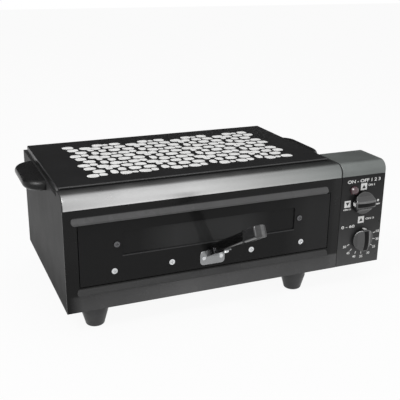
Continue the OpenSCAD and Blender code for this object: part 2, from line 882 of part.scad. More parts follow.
module lamp_lens() {
    color("#a33b44") {
        bar_y([lamp_x, 0, lamp_z], lamp_neck, panel_t);
        intersection() {
            translate([lamp_x, 0, lamp_z]) sphere(d = lamp_d);
            block([lamp_x - lamp_d, -lamp_d, lamp_z - lamp_d], [lamp_x + lamp_d, 0, lamp_z + lamp_d]);
        }
    }
}

module lamp_holder() {
    color("#d8d4c6") bar_y([lamp_x, panel_t, lamp_z], holder_d, holder_l);
}

module terminal_block() {
    color("#e2ded0")
        block([block_left, block_front, pass_up - block_h / 2],
            [block_left + block_w, ctl_d - sheet, pass_up + block_h / 2]);
}

module wire_grommet() {
    inner = body_w - sheet - grommet_lip;
    neck_d = pass_d - 2 * fixed_gap;
    flange_d = pass_d + 2 * grommet_rim;
    color("#18181a") difference() {
        union() {
            bar_x([inner, pass_back, pass_up], flange_d, grommet_lip);
            bar_x([body_w - sheet, pass_back, pass_up], neck_d, sheet);
            bar_x([body_w, pass_back, pass_up], flange_d, grommet_lip);
        }
        bar_x([inner - past, pass_back, pass_up], neck_d - 2 * grommet_wall,
            sheet + 2 * (grommet_lip + past));
    }
}

function unit(v) = v / norm(v);

// A quarter bend of a lead at a corner, between the ways into it and out of it
module lead_bend(corner, a, b) {
    n = cross(a, b);
    c = corner + lead_bend_r * (b - a);
    multmatrix([[-b.x, a.x, n.x, c.x], [-b.y, a.y, n.y, c.y], [-b.z, a.z, n.z, c.z], [0, 0, 0, 1]])
        rotate_extrude(angle = 90) translate([lead_bend_r, 0]) circle(d = lead_d);
}

// A lead through a list of points that turns square at each of them
module lead(points) {
    last = len(points) - 1;
    for (i = [0 : last - 1]) {
        way = points[i + 1] - points[i];
        start = i == 0 ? 0 : lead_bend_r;
        stop = i == last - 1 ? 0 : lead_bend_r;
        translate(points[i] + start * unit(way))
            rotate([0, atan2(norm([way.x, way.y]), way.z), atan2(way.y, way.x)])
                cylinder(d = lead_d, h = norm(way) - start - stop);
    }
    for (i = [1 : last - 1])
        lead_bend(points[i], unit(points[i] - points[i - 1]), unit(points[i + 1] - points[i]));
}

// A lead from the tail of an element, round the back of the liner and forward to the terminal block.
// The row picks the nearer or the farther lane, and the level the lower or the upper one.
module element_lead(run, z, row, level) {
    x = mid_x + run_offsets[run];
    tail = liner_rear + tail_l;
    back = tail + lead_out + row * 2 * lead_off;
    side = body_w - liner_side + lead_out + row * 2 * lead_off;
    lane = pass_up + level * lead_off;
    front = pass_back + (2 * row - 1) * lead_off;
    turn = body_w + lead_turn - row * turn_step;
    seat = block_front + seat_in + row * seat_step;
    lead([
        [x, tail, z], [x, back, z], [side, back, z], [side, back, lane], [side, front, lane],
        [turn, front, lane], [turn, seat, lane], [block_left, seat, lane]
    ]);
}

// A lead from a part behind the panel, back and down or up to the front of the terminal block
module panel_lead(x, y, z, level) {
    bend = block_front - panel_bend;
    lane = pass_up + level;
    lead([[x, y, z], [x, bend, z], [x, bend, lane], [x, block_front, lane]]);
}

module wiring() {
    color("#c9b458") {
        for (row = [0, 1]) {
            run = row == 0 ? 3 : 0;
            element_lead(run, upper_z, row, 1);
            element_lead(run, lower_z, row, -1);
        }
        panel_lead(knob_x + switch_lead_x, panel_t + switch_d, selector_z - switch_lead_down,
            panel_lead_up);
        panel_lead(knob_x + timer_lead_x, panel_t + timer_l, timer_z + timer_lead_up, -panel_lead_up);
        panel_lead(lamp_x, panel_t + holder_l, lamp_z, panel_lead_up);
    }
}

module cord_gland() {
    inner = ctl_d - sheet - gland_lip;
    color("#161617") difference() {
        union() {
            bar_y([knob_x, inner, gland_up], gland_flange, gland_lip);
            bar_y([knob_x, ctl_d - sheet, gland_up], gland_neck, sheet);
            bar_y([knob_x, ctl_d, gland_up], gland_flange, gland_lip);
        }
        bar_y([knob_x, inner - past, gland_up], gland_bore, sheet + 2 * (gland_lip + past));
    }
}

// Feet and fasteners

module foot(x, y) {
    color("#19191b") translate([x, y, 0]) difference() {
        rotate_extrude() {
            polygon([
                [0, -foot_h], [foot_low_d / 2 - foot_edge_r, -foot_h],
                [foot_low_d / 2, foot_edge_r - foot_h], [foot_top_d / 2, -foot_rim],
                [foot_top_d / 2, 0], [0, 0]
            ]);
            translate([foot_low_d / 2 - foot_edge_r, foot_edge_r - foot_h]) circle(foot_edge_r);
        }
        bar_z([0, 0, -foot_h - past], foot_bore, foot_recess + past);
        bar_z([0, 0, -foot_h], hole_d, foot_h + past);
    }
}

module front_left_foot() {
    foot(foot_xs[0], foot_ys[0]);
}

module front_right_foot() {
    foot(foot_xs[1], foot_ys[0]);
}

module rear_left_foot() {
    foot(foot_xs[0], foot_ys[1]);
}

module rear_right_foot() {
    foot(foot_xs[1], foot_ys[1]);
}

module foot_screws() {
    seat = foot_recess - foot_h;
    l = sheet + nut_t + thread_out - seat;
    color("#b5b7b9")
        for (x = foot_xs, y = foot_ys) translate([x, y, seat]) rotate([90, 0, 0]) pan_screw([0, 0, 0], l);
}

module foot_nuts() {
    color("#b5b7b9")
        for (x = foot_xs, y = foot_ys)
            translate([x, y, sheet]) rotate([90, 0, 0]) hex_nut_y([0, 0, 0], nut_w, nut_t, hole_d);
}

module back_screws() {
    color("#3a3a3c")
        for (x = back_screw_xs)
            translate([x, body_d, back_screw_up]) rotate(180) pan_screw([0, 0, 0], back_screw_l);
}

// Knobs

// A knob that faces the front, with its grip across at an angle
module knob(axis, turn) {
    scoop_out = knob_grip_w / 2 + scoop_r - grip_waist;
    translate([axis.x, -knob_gap_y, axis.y]) rotate([90, 0, 0]) rotate(turn) difference() {
        intersection() {
            union() {
                cylinder(d1 = knob_foot_d, d2 = knob_d, h = knob_flare);
                translate([0, 0, knob_flare]) cylinder(d = knob_d, h = knob_h - knob_flare);
            }
            translate([0, 0, knob_h - knob_dome_r]) sphere(knob_dome_r);
        }
        for (s = [-1, 1])
            translate([-knob_d, s * scoop_out, knob_rim + scoop_r]) rotate([0, 90, 0])
                cylinder(r = scoop_r, h = 2 * knob_d);
        translate([0, 0, -past])
            cylinder(d = knob_foot_d - 2 * knob_wall, h = knob_cavity - knob_gap_y + past);
        cylinder(d = shaft_d + 2 * shaft_gap, h = shaft_tip - knob_gap_y + blind_room);
    }
}

module knob_shaft(axis) {
    bar_y([axis.x, -shaft_tip, axis.y], shaft_d, shaft_tip + shaft_in - blind_room);
}

module selector_knob() {
    color("#1a1a1b") knob(knob_axes[0], 0);
}

module timer_knob() {
    color("#1a1a1b") knob(knob_axes[1], 90);
}

module selector_shaft() {
    color("#b9bbbd") knob_shaft(knob_axes[0]);
}

module timer_shaft() {
    color("#b9bbbd") knob_shaft(knob_axes[1]);
}

// Lid

// A lid shape with round corners and upper edges, shrunk by a skin
module lid_form(skin, low, high) {
    x0 = lid_side + skin;
    x1 = body_w - lid_side - skin;
    y0 = band_d + lid_front_gap + skin;
    y1 = body_d - lid_back_gap - skin;
    intersection() {
        translate([0, 0, low]) linear_extrude(high - low)
            round_rect([x0, y0], [x1, y1], lid_corner_r - skin);
        front_prism(y0, y1) arch_rect([x0, low], [x1, high], lid_edge_r);
        side_prism(x0, x1) arch_rect([y0, low], [y1, high], lid_edge_r);
    }
}

module lid() {
    color("#161617") difference() {
        lid_form(0, body_h, body_h + lid_h);
        lid_form(sheet, body_h - past, body_h + lid_h - sheet);
    }
}

// Drawer

module drawer_front() {
    color("#18181a") difference() {
        block([front_left, 0, front_low], [front_right, drawer_t + drawer_edge, front_top]);
        block([front_left + sheet, drawer_t, front_low + sheet],
            [front_right - sheet, drawer_t + drawer_edge + past, front_top - sheet]);
        front_prism(-past, drawer_t + past)
            round_rect([window_left, window_low], [window_left + window_w, window_low + window_h], window_r);
        for (x = tray_screw_xs) bar_y([x, -past, tray_screw_z], hole_d, drawer_t + 2 * past);
        for (s = [-1, 1]) {
            bar_y([mid_x + s * clip_screw_x, -past, window_mid], hole_d, drawer_t + 2 * past);
            bar_y([mid_x + s * rivet_gap / 2, -past, rivet_z], rivet_hole, drawer_t + 2 * past);
        }
    }
}

module window_glass() {
    color("#2b2d30")
        block([mid_x - glass_end, drawer_t, window_low - glass_lap],
            [mid_x + glass_end, drawer_t + glass_t, window_low + window_h + glass_lap]);
}

// A bent clip that holds one end of the glass
module window_clip() {
    web = mid_x + glass_end + clip_gap;
    low = window_mid - clip_h / 2;
    high = window_mid + clip_h / 2;
    rear = drawer_t + glass_t;
    difference() {
        union() {
            block([web, drawer_t, low], [mid_x + clip_screw_x + clip_end, drawer_t + clip_t, high]);
            block([web, drawer_t, low], [web + clip_t, rear + clip_t, high]);
            block([web - clip_tongue, rear, low], [web + clip_t, rear + clip_t, high]);
        }
        bar_y([mid_x + clip_screw_x, 0, window_mid], hole_d, drawer_t + clip_t + past);
    }
}

module window_clips() {
    color("#8a8c8e") {
        window_clip();
        mirrored_x() window_clip();
    }
}

module window_screws() {
    color("#3b3b3d")
        for (s = [-1, 1])
            pan_screw([mid_x + s * clip_screw_x, 0, window_mid], drawer_t + clip_t + thread_out);
}

module tray() {
    color("#b7babc") difference() {
        block([tray_left, drawer_t, tray_low], [tray_right, tray_rear, tray_top]);
        block([tray_left + tray_t, drawer_t + tray_t, tray_low + tray_t],
            [tray_right - tray_t, tray_rear - tray_t, tray_top + past]);
        for (x = tray_screw_xs) bar_y([x, drawer_t - past, tray_screw_z], hole_d, tray_t + 2 * past);
        for (s = [-1, 1])
            bar_y([mid_x + s * rivet_gap / 2, drawer_t - past, rivet_z], rivet_hole, tray_t + 2 * past);
    }
}

// A flat rail welded along one side of the tray, which slides in a runner
module tray_rail() {
    block([rail_left, rail_front, tray_top - tray_t], [tray_left, tray_rear, tray_top]);
}

module tray_rails() {
    color("#b7babc") {
        tray_rail();
        mirrored_x() tray_rail();
    }
}

// A wire grill that stands on four feet on the tray's floor
module tray_grill() {
    left = tray_left + tray_t + grill_gap;
    right = body_w - left;
    front = drawer_t + tray_t + nut_t + grill_gap;
    rear = tray_rear - tray_t - grill_gap;
    floor_z = tray_low + tray_t;
    z = floor_z + grill_up;
    count = floor((rear - front - 2 * wire_d) / wire_pitch);
    step = (rear - front - 2 * wire_d) / count;
    over = (side_wire_d + wire_d) / 2 - wire_weld;
    leg = step * 1.5;
    color("#c9cbcc") {
        for (x = [left, right]) {
            bar_y([x, front, z], side_wire_d, rear - front);
            for (y = [front + leg, rear - leg]) bar_z([x, y, floor_z], wire_d, grill_up);
        }
        for (i = [0 : count])
            bar_x([left - wire_d, front + wire_d + i * step, z + over], wire_d, right - left + 2 * wire_d);
    }
}

module tray_screws() {
    color("#d6d8d9")
        for (x = tray_screw_xs) pan_screw([x, 0, tray_screw_z], drawer_t + tray_t + nut_t + thread_out);
}

module tray_nuts() {
    color("#b5b7b9")
        for (x = tray_screw_xs) hex_nut_y([x, drawer_t + tray_t, tray_screw_z], nut_w, nut_t, hole_d);
}

// The handle's own axes: U runs out along the handle, V up across it
module on_handle() {
    translate([mid_x, -neck_out, neck_z]) rotate([-handle_tilt, 0, 0]) children();
}

module handle_bracket() {
    low = mouth_low + bracket_up;
    neck_low = -neck_t / 2;
    cheek_x = neck_w / 2 + cheek_gap;
    color("#cfd1d2") difference() {
        union() {
            front_prism(-bracket_t, 0)
                round_rect([mid_x - bracket_w / 2, low],
                    [mid_x + bracket_w / 2, low + bracket_h], bracket_r);
            intersection() {
                on_handle() {
                    block([-cheek_x - bracket_t, -cheek_l, neck_low - bracket_t],
                        [cheek_x + bracket_t, neck_out + neck_t, neck_low - cheek_gap]);
                    block([-strap_w / 2, -strap_l, neck_low - bracket_t],
                        [strap_w / 2, 0, neck_low - cheek_gap]);
                    for (s = [-1, 1]) translate([s * (cheek_x + bracket_t / 2) - bracket_t / 2, 0, 0])
                        block([0, -cheek_l, neck_low - bracket_t], [bracket_t, neck_out + neck_t, 0]);
                }
                block([0, -handle_l, low], [body_w, 0, neck_z + handle_l]);
            }
        }
        for (s = [-1, 1])
            bar_y([mid_x + s * rivet_gap / 2, -bracket_t - past, rivet_z], rivet_hole, bracket_t + 2 * past);
        on_handle() bar_z([0, -strap_screw_u, neck_low - bracket_t - past], hole_d, bracket_t + 2 * past);
    }
}

module bracket_rivets() {
    color("#d6d8d9")
        for (s = [-1, 1]) translate([mid_x + s * rivet_gap / 2, 0, rivet_z]) {
            translate([0, -bracket_t, 0]) dome_head(rivet_head_d, rivet_head_h);
            bar_y([0, -bracket_t, 0], rivet_d, bracket_t + drawer_t + tray_t);
            bar_y([0, drawer_t + tray_t, 0], rivet_tail_d, rivet_tail_h);
        }
}

// Four round corners of the handle's section at a distance along it
module handle_station(u, w, t) {
    for (x = [-1, 1], z = [-1, 1])
        translate([x * (w / 2 - handle_r), -u, z * (t / 2 - handle_r)]) sphere(handle_r, $fn = 24);
}

module drawer_handle() {
    color("#101011") on_handle() difference() {
        union() {
            hull() {
                handle_station(handle_r, neck_w, neck_t);
                handle_station(taper_u, neck_w, neck_t);
            }
            hull() {
                handle_station(taper_u, neck_w, neck_t);
                handle_station(handle_l - grip_l, grip_w, grip_t);
            }
            hull() {
                handle_station(handle_l - grip_l, grip_w, grip_t);
                handle_station(handle_l - handle_r, grip_w, grip_t);
            }
        }
        bar_z([0, -strap_screw_u, -grip_t], hole_d, grip_t - neck_t / 2 + handle_screw_in + blind_room);
    }
}

module handle_screw() {
    color("#cfd1d2") on_handle() translate([0, -strap_screw_u, -neck_t / 2 - bracket_t]) rotate([90, 0, 0])
        pan_screw([0, 0, 0], bracket_t + handle_screw_in);
}

placed() outer_shell();
placed() base_plate();
placed() front_panel();
placed() front_band();
placed() oven_liner();
placed() left_runner();
placed() right_runner();
placed() upper_element();
placed() lower_element();
placed() element_bars();
placed() element_insulators();
placed() left_carry_handle();
placed() right_carry_handle();
placed() carry_handle_screws();
placed() control_box_shell();
placed() control_box_cover();
placed() control_panel();
placed() selector_switch();
placed() timer_unit();
placed() panel_nuts();
placed() lamp_lens();
placed() lamp_holder();
placed() terminal_block();
placed() wire_grommet();
placed() wiring();
placed() cord_gland();
placed() front_left_foot();
placed() front_right_foot();
placed() rear_left_foot();
placed() rear_right_foot();
placed() foot_screws();
placed() foot_nuts();
placed() back_screws();
placed() selector_knob();
placed() selector_shaft();
placed() timer_knob();
placed() timer_shaft();
placed() lid();
placed() drawer_front();
placed() window_glass();
placed() window_clips();
placed() window_screws();
placed() tray();
placed() tray_rails();
placed() tray_grill();
placed() tray_screws();
placed() tray_nuts();
placed() handle_bracket();
placed() bracket_rivets();
placed() drawer_handle();
placed() handle_screw();
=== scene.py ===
"""Looks of an electric tandoor: finishes, rounded skins, printed marks, light and camera."""
import json
import math
import random

import bmesh
import bpy
from mathutils import Matrix, Vector


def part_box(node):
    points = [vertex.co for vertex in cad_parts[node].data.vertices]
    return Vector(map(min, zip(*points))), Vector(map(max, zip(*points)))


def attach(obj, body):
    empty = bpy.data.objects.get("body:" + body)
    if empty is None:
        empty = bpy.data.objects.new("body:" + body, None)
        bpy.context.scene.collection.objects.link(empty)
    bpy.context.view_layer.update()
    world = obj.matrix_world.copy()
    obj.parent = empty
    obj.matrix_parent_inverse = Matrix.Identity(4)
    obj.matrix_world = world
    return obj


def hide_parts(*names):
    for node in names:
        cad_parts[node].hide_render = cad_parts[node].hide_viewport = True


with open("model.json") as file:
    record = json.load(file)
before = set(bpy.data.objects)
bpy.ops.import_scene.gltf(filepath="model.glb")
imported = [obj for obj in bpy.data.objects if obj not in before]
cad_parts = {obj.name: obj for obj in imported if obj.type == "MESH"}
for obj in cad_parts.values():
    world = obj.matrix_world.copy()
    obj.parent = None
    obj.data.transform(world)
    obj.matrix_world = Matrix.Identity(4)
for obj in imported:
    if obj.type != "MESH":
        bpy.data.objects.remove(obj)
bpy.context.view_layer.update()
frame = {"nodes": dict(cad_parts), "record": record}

MM = 0.001

# Camera, fitted to the photograph
IMAGE_PX = 400
FOCAL_PX = 705.32
SENSOR_MM = 36
CAMERA_AT = Vector((-0.38536, -0.88161, 0.46622))
CAMERA_FORWARD = Vector((0.36764, 0.87160, -0.32426))
CAMERA_UP = Vector((0.11649, 0.30277, 0.94592))

# Point that the lights face, and the bright card's place, half width and strength
TARGET = Vector((0, 0, 0.08))
CARD_AT = Vector((-1.3, -0.7, 1.6))
CARD_HALF = 0.9
CARD_GLOW = 6.0

# Where the dark card fades from white to dark, in metres from front to back
CARD_FADE = (0.5, 2.8)

# Share of glow in the floor's white, half the floor's width in metres, and light from all round
FLOOR_GLOW = 0.93
FLOOR_HALF = 6.0
AMBIENT = 0.4

# Lid print, in millimetres
PRINT_H = 0.2
TILE = (73.25, 51.25)
TILE_START = (27.7, 36.0)
TILE_ROWS = 4
TILE_COLUMNS = 6
PRINT_X = (48.0, 358.0)
PRINT_ROWS_BACK = 190.5
PEBBLE_SIDES = 28
PEBBLE_FILL = (0.95, 0.86)
PEBBLE_SQUARE = 0.78
PEBBLE_SEED = 7

# Waves in a pebble's outline, and the rings of its dome as shares of its radius and height
PEBBLE_WAVES = (0.045, 0.035)
PEBBLE_RINGS = [(1.0, 0.0), (0.985, 0.55), (0.94, 0.85), (0.8, 1.0)]

# Pebbles of one tile: place and half widths, in millimetres
PEBBLES = [
    (0.0, 0.0, 8.6, 8.6), (12.6, -0.5, 4.4, 5.2), (27.3, 0.0, 8.9, 8.4), (41.6, 1.5, 5.6, 7.2),
    (59.0, 9.0, 5.6, 9.6), (-0.5, 18.8, 6.2, 8.0), (18.0, 18.0, 9.4, 8.6), (39.6, 17.4, 9.2, 8.6),
    (56.5, 27.0, 4.8, 6.4), (-6.3, 35.0, 7.6, 8.0), (12.2, 35.4, 8.8, 7.8), (31.0, 34.0, 8.6, 8.4),
    (51.6, 39.6, 9.4, 8.8),
]

# How far the glass laps behind the drawer front, in millimetres
WINDOW_LAP = 3.0

# Grid that softens the knobs' edges, in millimetres, and how often it is smoothed
MOULD_GRID = 0.5
MOULD_PASSES = 60

# Crest on a knob's grip, in millimetres: its half width, and how far back it reaches
CREST_HALF = 3.6
CREST_DEPTH = 5.0

# Heights of the painted highlight along the upper edge of the selector's grip, above its middle, in
# millimetres
GRIP_EDGE = (2.3, 5.0)

# Front share of a face's normal on a knob's rim, and the most that it is on the crest
RIM_FACING = (-0.9, -0.3)
CREST_FACING = -0.93

# Thickness of the bracket's plate, and how far before it the cheeks begin, in millimetres
BRACKET_T = 1.5
CHEEK_START = 0.3

# Front share of a face's normal, above which it is no edge of the bracket
BRACKET_FACING = 0.95

# Least share of front and top in the normal of the lid's front edge
LID_EDGE_FACING = 0.3

# Vertices closer than this are one, in metres, and faces within this angle are one, in degrees
MERGE = 1e-6
FLAT_DEG = 0.5

# Cross recess of a screw, in millimetres: length and half width of an arm, and depth
CROSS_ARM = 2.2
CROSS_HALF = 0.45
CROSS_DEEP = 1.2

# Control panel marks and knob pointers, in millimetres and degrees
MARK_T = 0.1
MARK_SINK = 0.05
BOLD = 0.12
ICON = 10.5
DIAL_R = 30.0
DIAL_NUMBER = (5.6, 4.0)
TICK_R = (21.5, 25.5)
TICK_W = 1.2
POINTER_DEG = 8
POINTER_H = (3.2, 9.4)
POINTER_SEAT = 1.5
POINTER_T = 0.08
DIAL_STEP_DEG = 25
DIAL_NUMBERED = range(3, 11)

# Words by the selector knob: text, place from the knob's middle, width and height
WORDS = [
    ("ON - OFF 1 2 3", 1, 33, 57, 5), ("ON 1", 14.5, 25.2, 11, 3.2), ("ON 2", -25, -9.2, 13, 2.4),
    ("ON 3", 16.5, -27.6, 15, 3), ("OFF", 29, -6.4, 7, 2.2), ("0 - 60", -21, -36.6, 23, 4.6),
]

# Signs by the selector knob: place from its middle, and whether they point up; the dot's place and radius
ICONS = [(1.3, 23.6, True), (-25, -0.8, False), (1, -27.9, True)]
OFF_DOT = (28.6, -0.6, 1.8)


# Materials

def grey(value):
    return (value, value, value)


BLACK = grey(0)
WHITE = grey(1)


class Paint:
    """A Principled material that varies by noise and ramps in the piece's own space."""

    def __init__(self, name, rough=0.4, metallic=0.0, specular=0.5):
        self.material = bpy.data.materials.new(name)
        self.material.use_nodes = True
        self.tree = self.material.node_tree
        self.shader = self.tree.nodes["Principled BSDF"]
        self.set("Roughness", rough)
        self.set("Metallic", metallic)
        self.set("Specular IOR Level", specular)
        self.space = self.tree.nodes.new("ShaderNodeTexCoord").outputs["Object"]

    def set(self, socket, value):
        self.shader.inputs[socket].default_value = value

    def link(self, output, socket):
        self.tree.links.new(output, self.shader.inputs[socket])

    def node(self, kind, **settings):
        node = self.tree.nodes.new(kind)
        for key, value in settings.items():
            setattr(node, key, value)
        return node

    def noise(self, scale, detail=3.0, stretch=(1, 1, 1)):
        mapping = self.node("ShaderNodeMapping")
        mapping.inputs["Scale"].default_value = stretch
        self.tree.links.new(self.space, mapping.inputs["Vector"])
        noise = self.node("ShaderNodeTexNoise")
        noise.inputs["Scale"].default_value = scale
        noise.inputs["Detail"].default_value = detail
        self.tree.links.new(mapping.outputs["Vector"], noise.inputs["Vector"])
        return noise.outputs["Fac"]

    def along(self, axis, start, end):
        """0 to 1 along one axis of the piece, from start to end in metres."""
        split = self.node("ShaderNodeSeparateXYZ")
        self.tree.links.new(self.space, split.inputs["Vector"])
        return self.spread(split.outputs[axis], 0.0, 1.0, start, end)

    def spread(self, value, low, high, start=0.3, end=0.7):
        node = self.node("ShaderNodeMapRange")
        for key, number in (("From Min", start), ("From Max", end), ("To Min", low), ("To Max", high)):
            node.inputs[key].default_value = number
        self.tree.links.new(value, node.inputs["Value"])
        return node.outputs["Result"]

    def ramp(self, value, *stops):
        node = self.node("ShaderNodeValToRGB")
        points = node.color_ramp.elements
        points.remove(points[1])
        points[0].position = stops[0][0]
        points[0].color = (*stops[0][1], 1.0)
        for place, color in stops[1:]:
            points.new(place).color = (*color, 1.0)
        self.tree.links.new(value, node.inputs["Fac"])
        return node.outputs["Color"]

    def blend(self, a, b, kind="MULTIPLY"):
        node = self.node("ShaderNodeMix", data_type="RGBA", blend_type=kind)
        node.inputs["Factor"].default_value = 1.0
        self.tree.links.new(a, node.inputs["A"])
        self.tree.links.new(b, node.inputs["B"])
        return node.outputs["Result"]

    def color(self, output):
        self.link(output, "Base Color")
        return self

    def mottle(self, color, share, scale):
        low = [c * (1 - share) for c in color]
        high = [min(1.0, c * (1 + share)) for c in color]
        return self.ramp(self.noise(scale), (0.3, low), (0.7, high))

    def rough(self, low, high, scale, stretch=(1, 1, 1)):
        self.link(self.spread(self.noise(scale, 4.0, stretch), low, high), "Roughness")
        return self

    def bump(self, height, strength, depth):
        node = self.node("ShaderNodeBump")
        node.inputs["Strength"].default_value = strength
        node.inputs["Distance"].default_value = depth
        self.tree.links.new(height, node.inputs["Height"])
        self.link(node.outputs["Normal"], "Normal")
        return self

    def uneven(self, color, low):
        """Darkens a colour in broad patches, down to a share of it."""
        return self.color(self.blend(color, self.ramp(self.noise(22), (0.3, grey(low)), (0.7, WHITE))))

    def flaked(self, color):
        """Adds the fine sparkle of metallic enamel to a colour."""
        flake = self.ramp(self.noise(2600, 2.0), (0.35, grey(0.86)), (0.65, WHITE))
        return self.color(self.blend(color, flake))

    def peel(self, strength):
        """The fine orange peel of baked enamel."""
        return self.bump(self.noise(420, 2.0), strength, 0.0004)

    def grain(self, strength):
        """The fine grain of a moulding."""
        return self.bump(self.noise(1400, 2.0), strength, 0.0002)


def enamel(name, color, rough, specular, share):
    """Baked enamel: slight mottling, smudges in the gloss and a fine orange peel."""
    paint = Paint(name, specular=specular)
    paint.color(paint.mottle(color, share, 22))
    paint.rough(rough * (1 - share), rough * (1 + share), 35)
    return paint.peel(0.25 * share)


def shell_enamel(low, high):
    """Satin enamel of the walls, with painted shade that darkens them towards the floor and the front."""
    paint = Paint("shell_enamel", specular=0.025)
    lo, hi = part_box("outer_shell")
    back = paint.spread(paint.along("Y", lo.y + 50 * MM, hi.y), 0.0, 0.5, 0.0, 1.0)
    place = paint.node("ShaderNodeMath", operation="ADD")
    paint.tree.links.new(paint.along("Z", lo.z + 5 * MM, lo.z + 70 * MM), place.inputs[0])
    paint.tree.links.new(back, place.inputs[1])
    # painted shade: from the low colour at the bottom front to the high colour further up and back
    fade = paint.ramp(place.outputs[0], (0.15, low), (1.0, high))
    paint.uneven(fade, 0.92)
    paint.rough(0.43, 0.47, 35)
    return paint.peel(0.01)


def panel_enamel(top, low):
    """Enamel of the control panel, with painted light that makes it paler towards its lower edge."""
    paint = Paint("panel_enamel", specular=0.2)
    lo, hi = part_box("control_panel")
    between = [(a + b) / 2.6 for a, b in zip(top, low)]
    # painted light: lighter towards the panel's lower edge
    fade = paint.ramp(paint.along("Z", lo.z, hi.z), (0.0, low), (0.45, between), (1.0, top))
    paint.uneven(fade, 0.88)
    paint.rough(0.26, 0.36, 35)
    return paint.peel(0.04)


def front_enamel(flat, bead, lip):
    """Black enamel of the front, with painted highlights on its raised beads, a painted reflection on the
    lip under them that is brightest about the middle, and painted light at the right end.
    """
    paint = Paint("front_enamel", specular=0.2)
    lo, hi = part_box("front_panel")
    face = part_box("drawer_front")[0].y
    # painted highlight on the beads; below the panel's middle this colour is halved
    bead_highlight = paint.ramp(paint.along("Y", face - 0.1 * MM, face - 0.9 * MM), (0.0, flat), (1.0, bead))
    height = paint.ramp(paint.along("Z", lo.z, hi.z), (0.4, grey(0.5)), (0.6, WHITE))
    raised = paint.blend(bead_highlight, height)
    # painted reflection on the lip under the lower bead, brightest about the middle of the width
    below = paint.along("Z", lo.z + 24 * MM, lo.z + 21 * MM)
    lip_reflection = paint.ramp(below, (0.0, BLACK), (1.0, lip))
    across = paint.along("X", lo.x, hi.x)
    lip_reflection_across = paint.ramp(across, (0.01, BLACK), (0.05, grey(0.55)), (0.4, WHITE), (0.8, grey(0.72)))
    paler = paint.blend(lip_reflection, lip_reflection_across)
    # painted light at the right end of the front
    end = paint.along("X", hi.x - 18 * MM, hi.x - 8 * MM)
    right = paint.ramp(end, (0.0, BLACK), (1.0, grey(0.011)))
    paint.uneven(paint.blend(paint.blend(raised, paler, "ADD"), right, "ADD"), 0.85)
    paint.rough(0.22, 0.3, 35)
    return paint.peel(0.05)


def drawer_enamel(flat, line):
    """Black enamel of the drawer front, with a painted highlight as a pale line under its window and
    painted light at its right end.
    """
    paint = Paint("drawer_enamel", specular=0.1)
    window_lo, window_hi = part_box("window_glass")
    # painted highlight: a pale line under the window's lower edge, across the window's width
    edge = window_lo.z + WINDOW_LAP * MM
    near_edge = paint.along("Z", edge - 3 * MM, edge + 3 * MM)
    below = paint.ramp(near_edge, (0.26, flat), (0.32, line), (0.5, line), (0.56, flat))
    window = paint.along("X", window_lo.x + WINDOW_LAP * MM, window_hi.x - WINDOW_LAP * MM)
    within = paint.ramp(window, (0.0, flat), (0.005, WHITE), (0.995, WHITE), (1.0, flat))
    # painted light at the right end
    right = paint.along("X", window_hi.x - 20 * MM, window_hi.x + 20 * MM)
    paler = paint.ramp(right, (0.0, BLACK), (1.0, (0.012, 0.012, 0.0121)))
    paint.color(paint.blend(paint.blend(below, within, "DARKEN"), paler, "ADD"))
    paint.rough(0.13, 0.19, 35)
    return paint.peel(0.05)


def plastic(name, color, rough, specular=0.5, grain=0.12):
    """Moulded plastic, rubber or ceramic, slightly mottled."""
    paint = Paint(name, specular=specular)
    paint.color(paint.mottle(color, 0.15, 40))
    paint.rough(rough * 0.85, rough * 1.2, 60)
    return paint.grain(grain)


def grip_plastic():
    """Polished black moulding with fine scuffs, with painted light that makes its end lighter than its
    neck and a painted highlight across the end.
    """
    paint = Paint("bakelite", specular=0.55)
    lo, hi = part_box("drawer_handle")
    # painted light: the end of the handle lighter than its neck
    outward = paint.along("Y", lo.y + 34 * MM, lo.y + 26 * MM)
    end_light = paint.ramp(outward, (0.0, (0.005, 0.005, 0.0052)), (1.0, WHITE))
    # painted highlight across the end, with a dark band near its right side
    end_highlight = paint.ramp(paint.along("X", lo.x, hi.x), (0.0, (0.04, 0.04, 0.041)), (0.5, (0.05, 0.05, 0.051)),
                      (0.6, (0.16, 0.16, 0.161)), (0.8, (0.12, 0.12, 0.121)), (0.85, (0.02, 0.02, 0.021)))
    tone = paint.blend(end_light, end_highlight, "DARKEN")
    scuff = paint.ramp(paint.noise(260, 4.0, (1, 1, 3)), (0.3, grey(0.7)), (0.7, WHITE))
    paint.color(paint.blend(tone, scuff))
    paint.rough(0.12, 0.22, 80)
    return paint.grain(0.03)


def metal(name, color, rough, stretch=(1, 1, 1), grain=0.05):
    """Bare or plated metal with a fine grain along its stretch."""
    paint = Paint(name, metallic=1.0)
    paint.color(paint.mottle(color, 0.12, 60))
    paint.rough(rough * 0.7, rough * 1.35, 500, stretch)
    return paint.bump(paint.noise(900, 3.0, stretch), grain, 0.0002)


def silver_band():
    """Silver metallic enamel with painted light that falls off towards the control box, where it turns to
    a darker greenish grey, painted shade towards its top and a painted highlight along its lower edge.
    """
    paint = Paint("silver_enamel", metallic=0.9)
    lo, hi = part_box("front_band")
    # painted shade towards the top of the band
    backward = paint.along("Y", lo.y + 11 * MM, lo.y + 33 * MM)
    top_shade = paint.ramp(backward, (0.0, WHITE), (1.0, grey(0.1)))
    # painted highlight along the lower edge
    upward = paint.along("Z", lo.z, lo.z + 16 * MM)
    low_highlight = paint.ramp(upward, (0.0, WHITE), (0.2, grey(0.87)), (0.6, grey(0.8)), (0.95, grey(0.7)))
    # painted light that falls off towards the control box
    across = paint.along("X", lo.x, hi.x)
    fade = paint.ramp(across, (0.0, grey(0.61)), (0.2, grey(0.8)), (0.45, (0.81, 0.812, 0.81)),
                      (0.7, (0.53, 0.536, 0.53)), (1.0, (0.3, 0.318, 0.312)))
    paint.flaked(paint.blend(fade, paint.blend(top_shade, low_highlight)))
    paint.rough(0.26, 0.36, 30)
    return paint.peel(0.04)


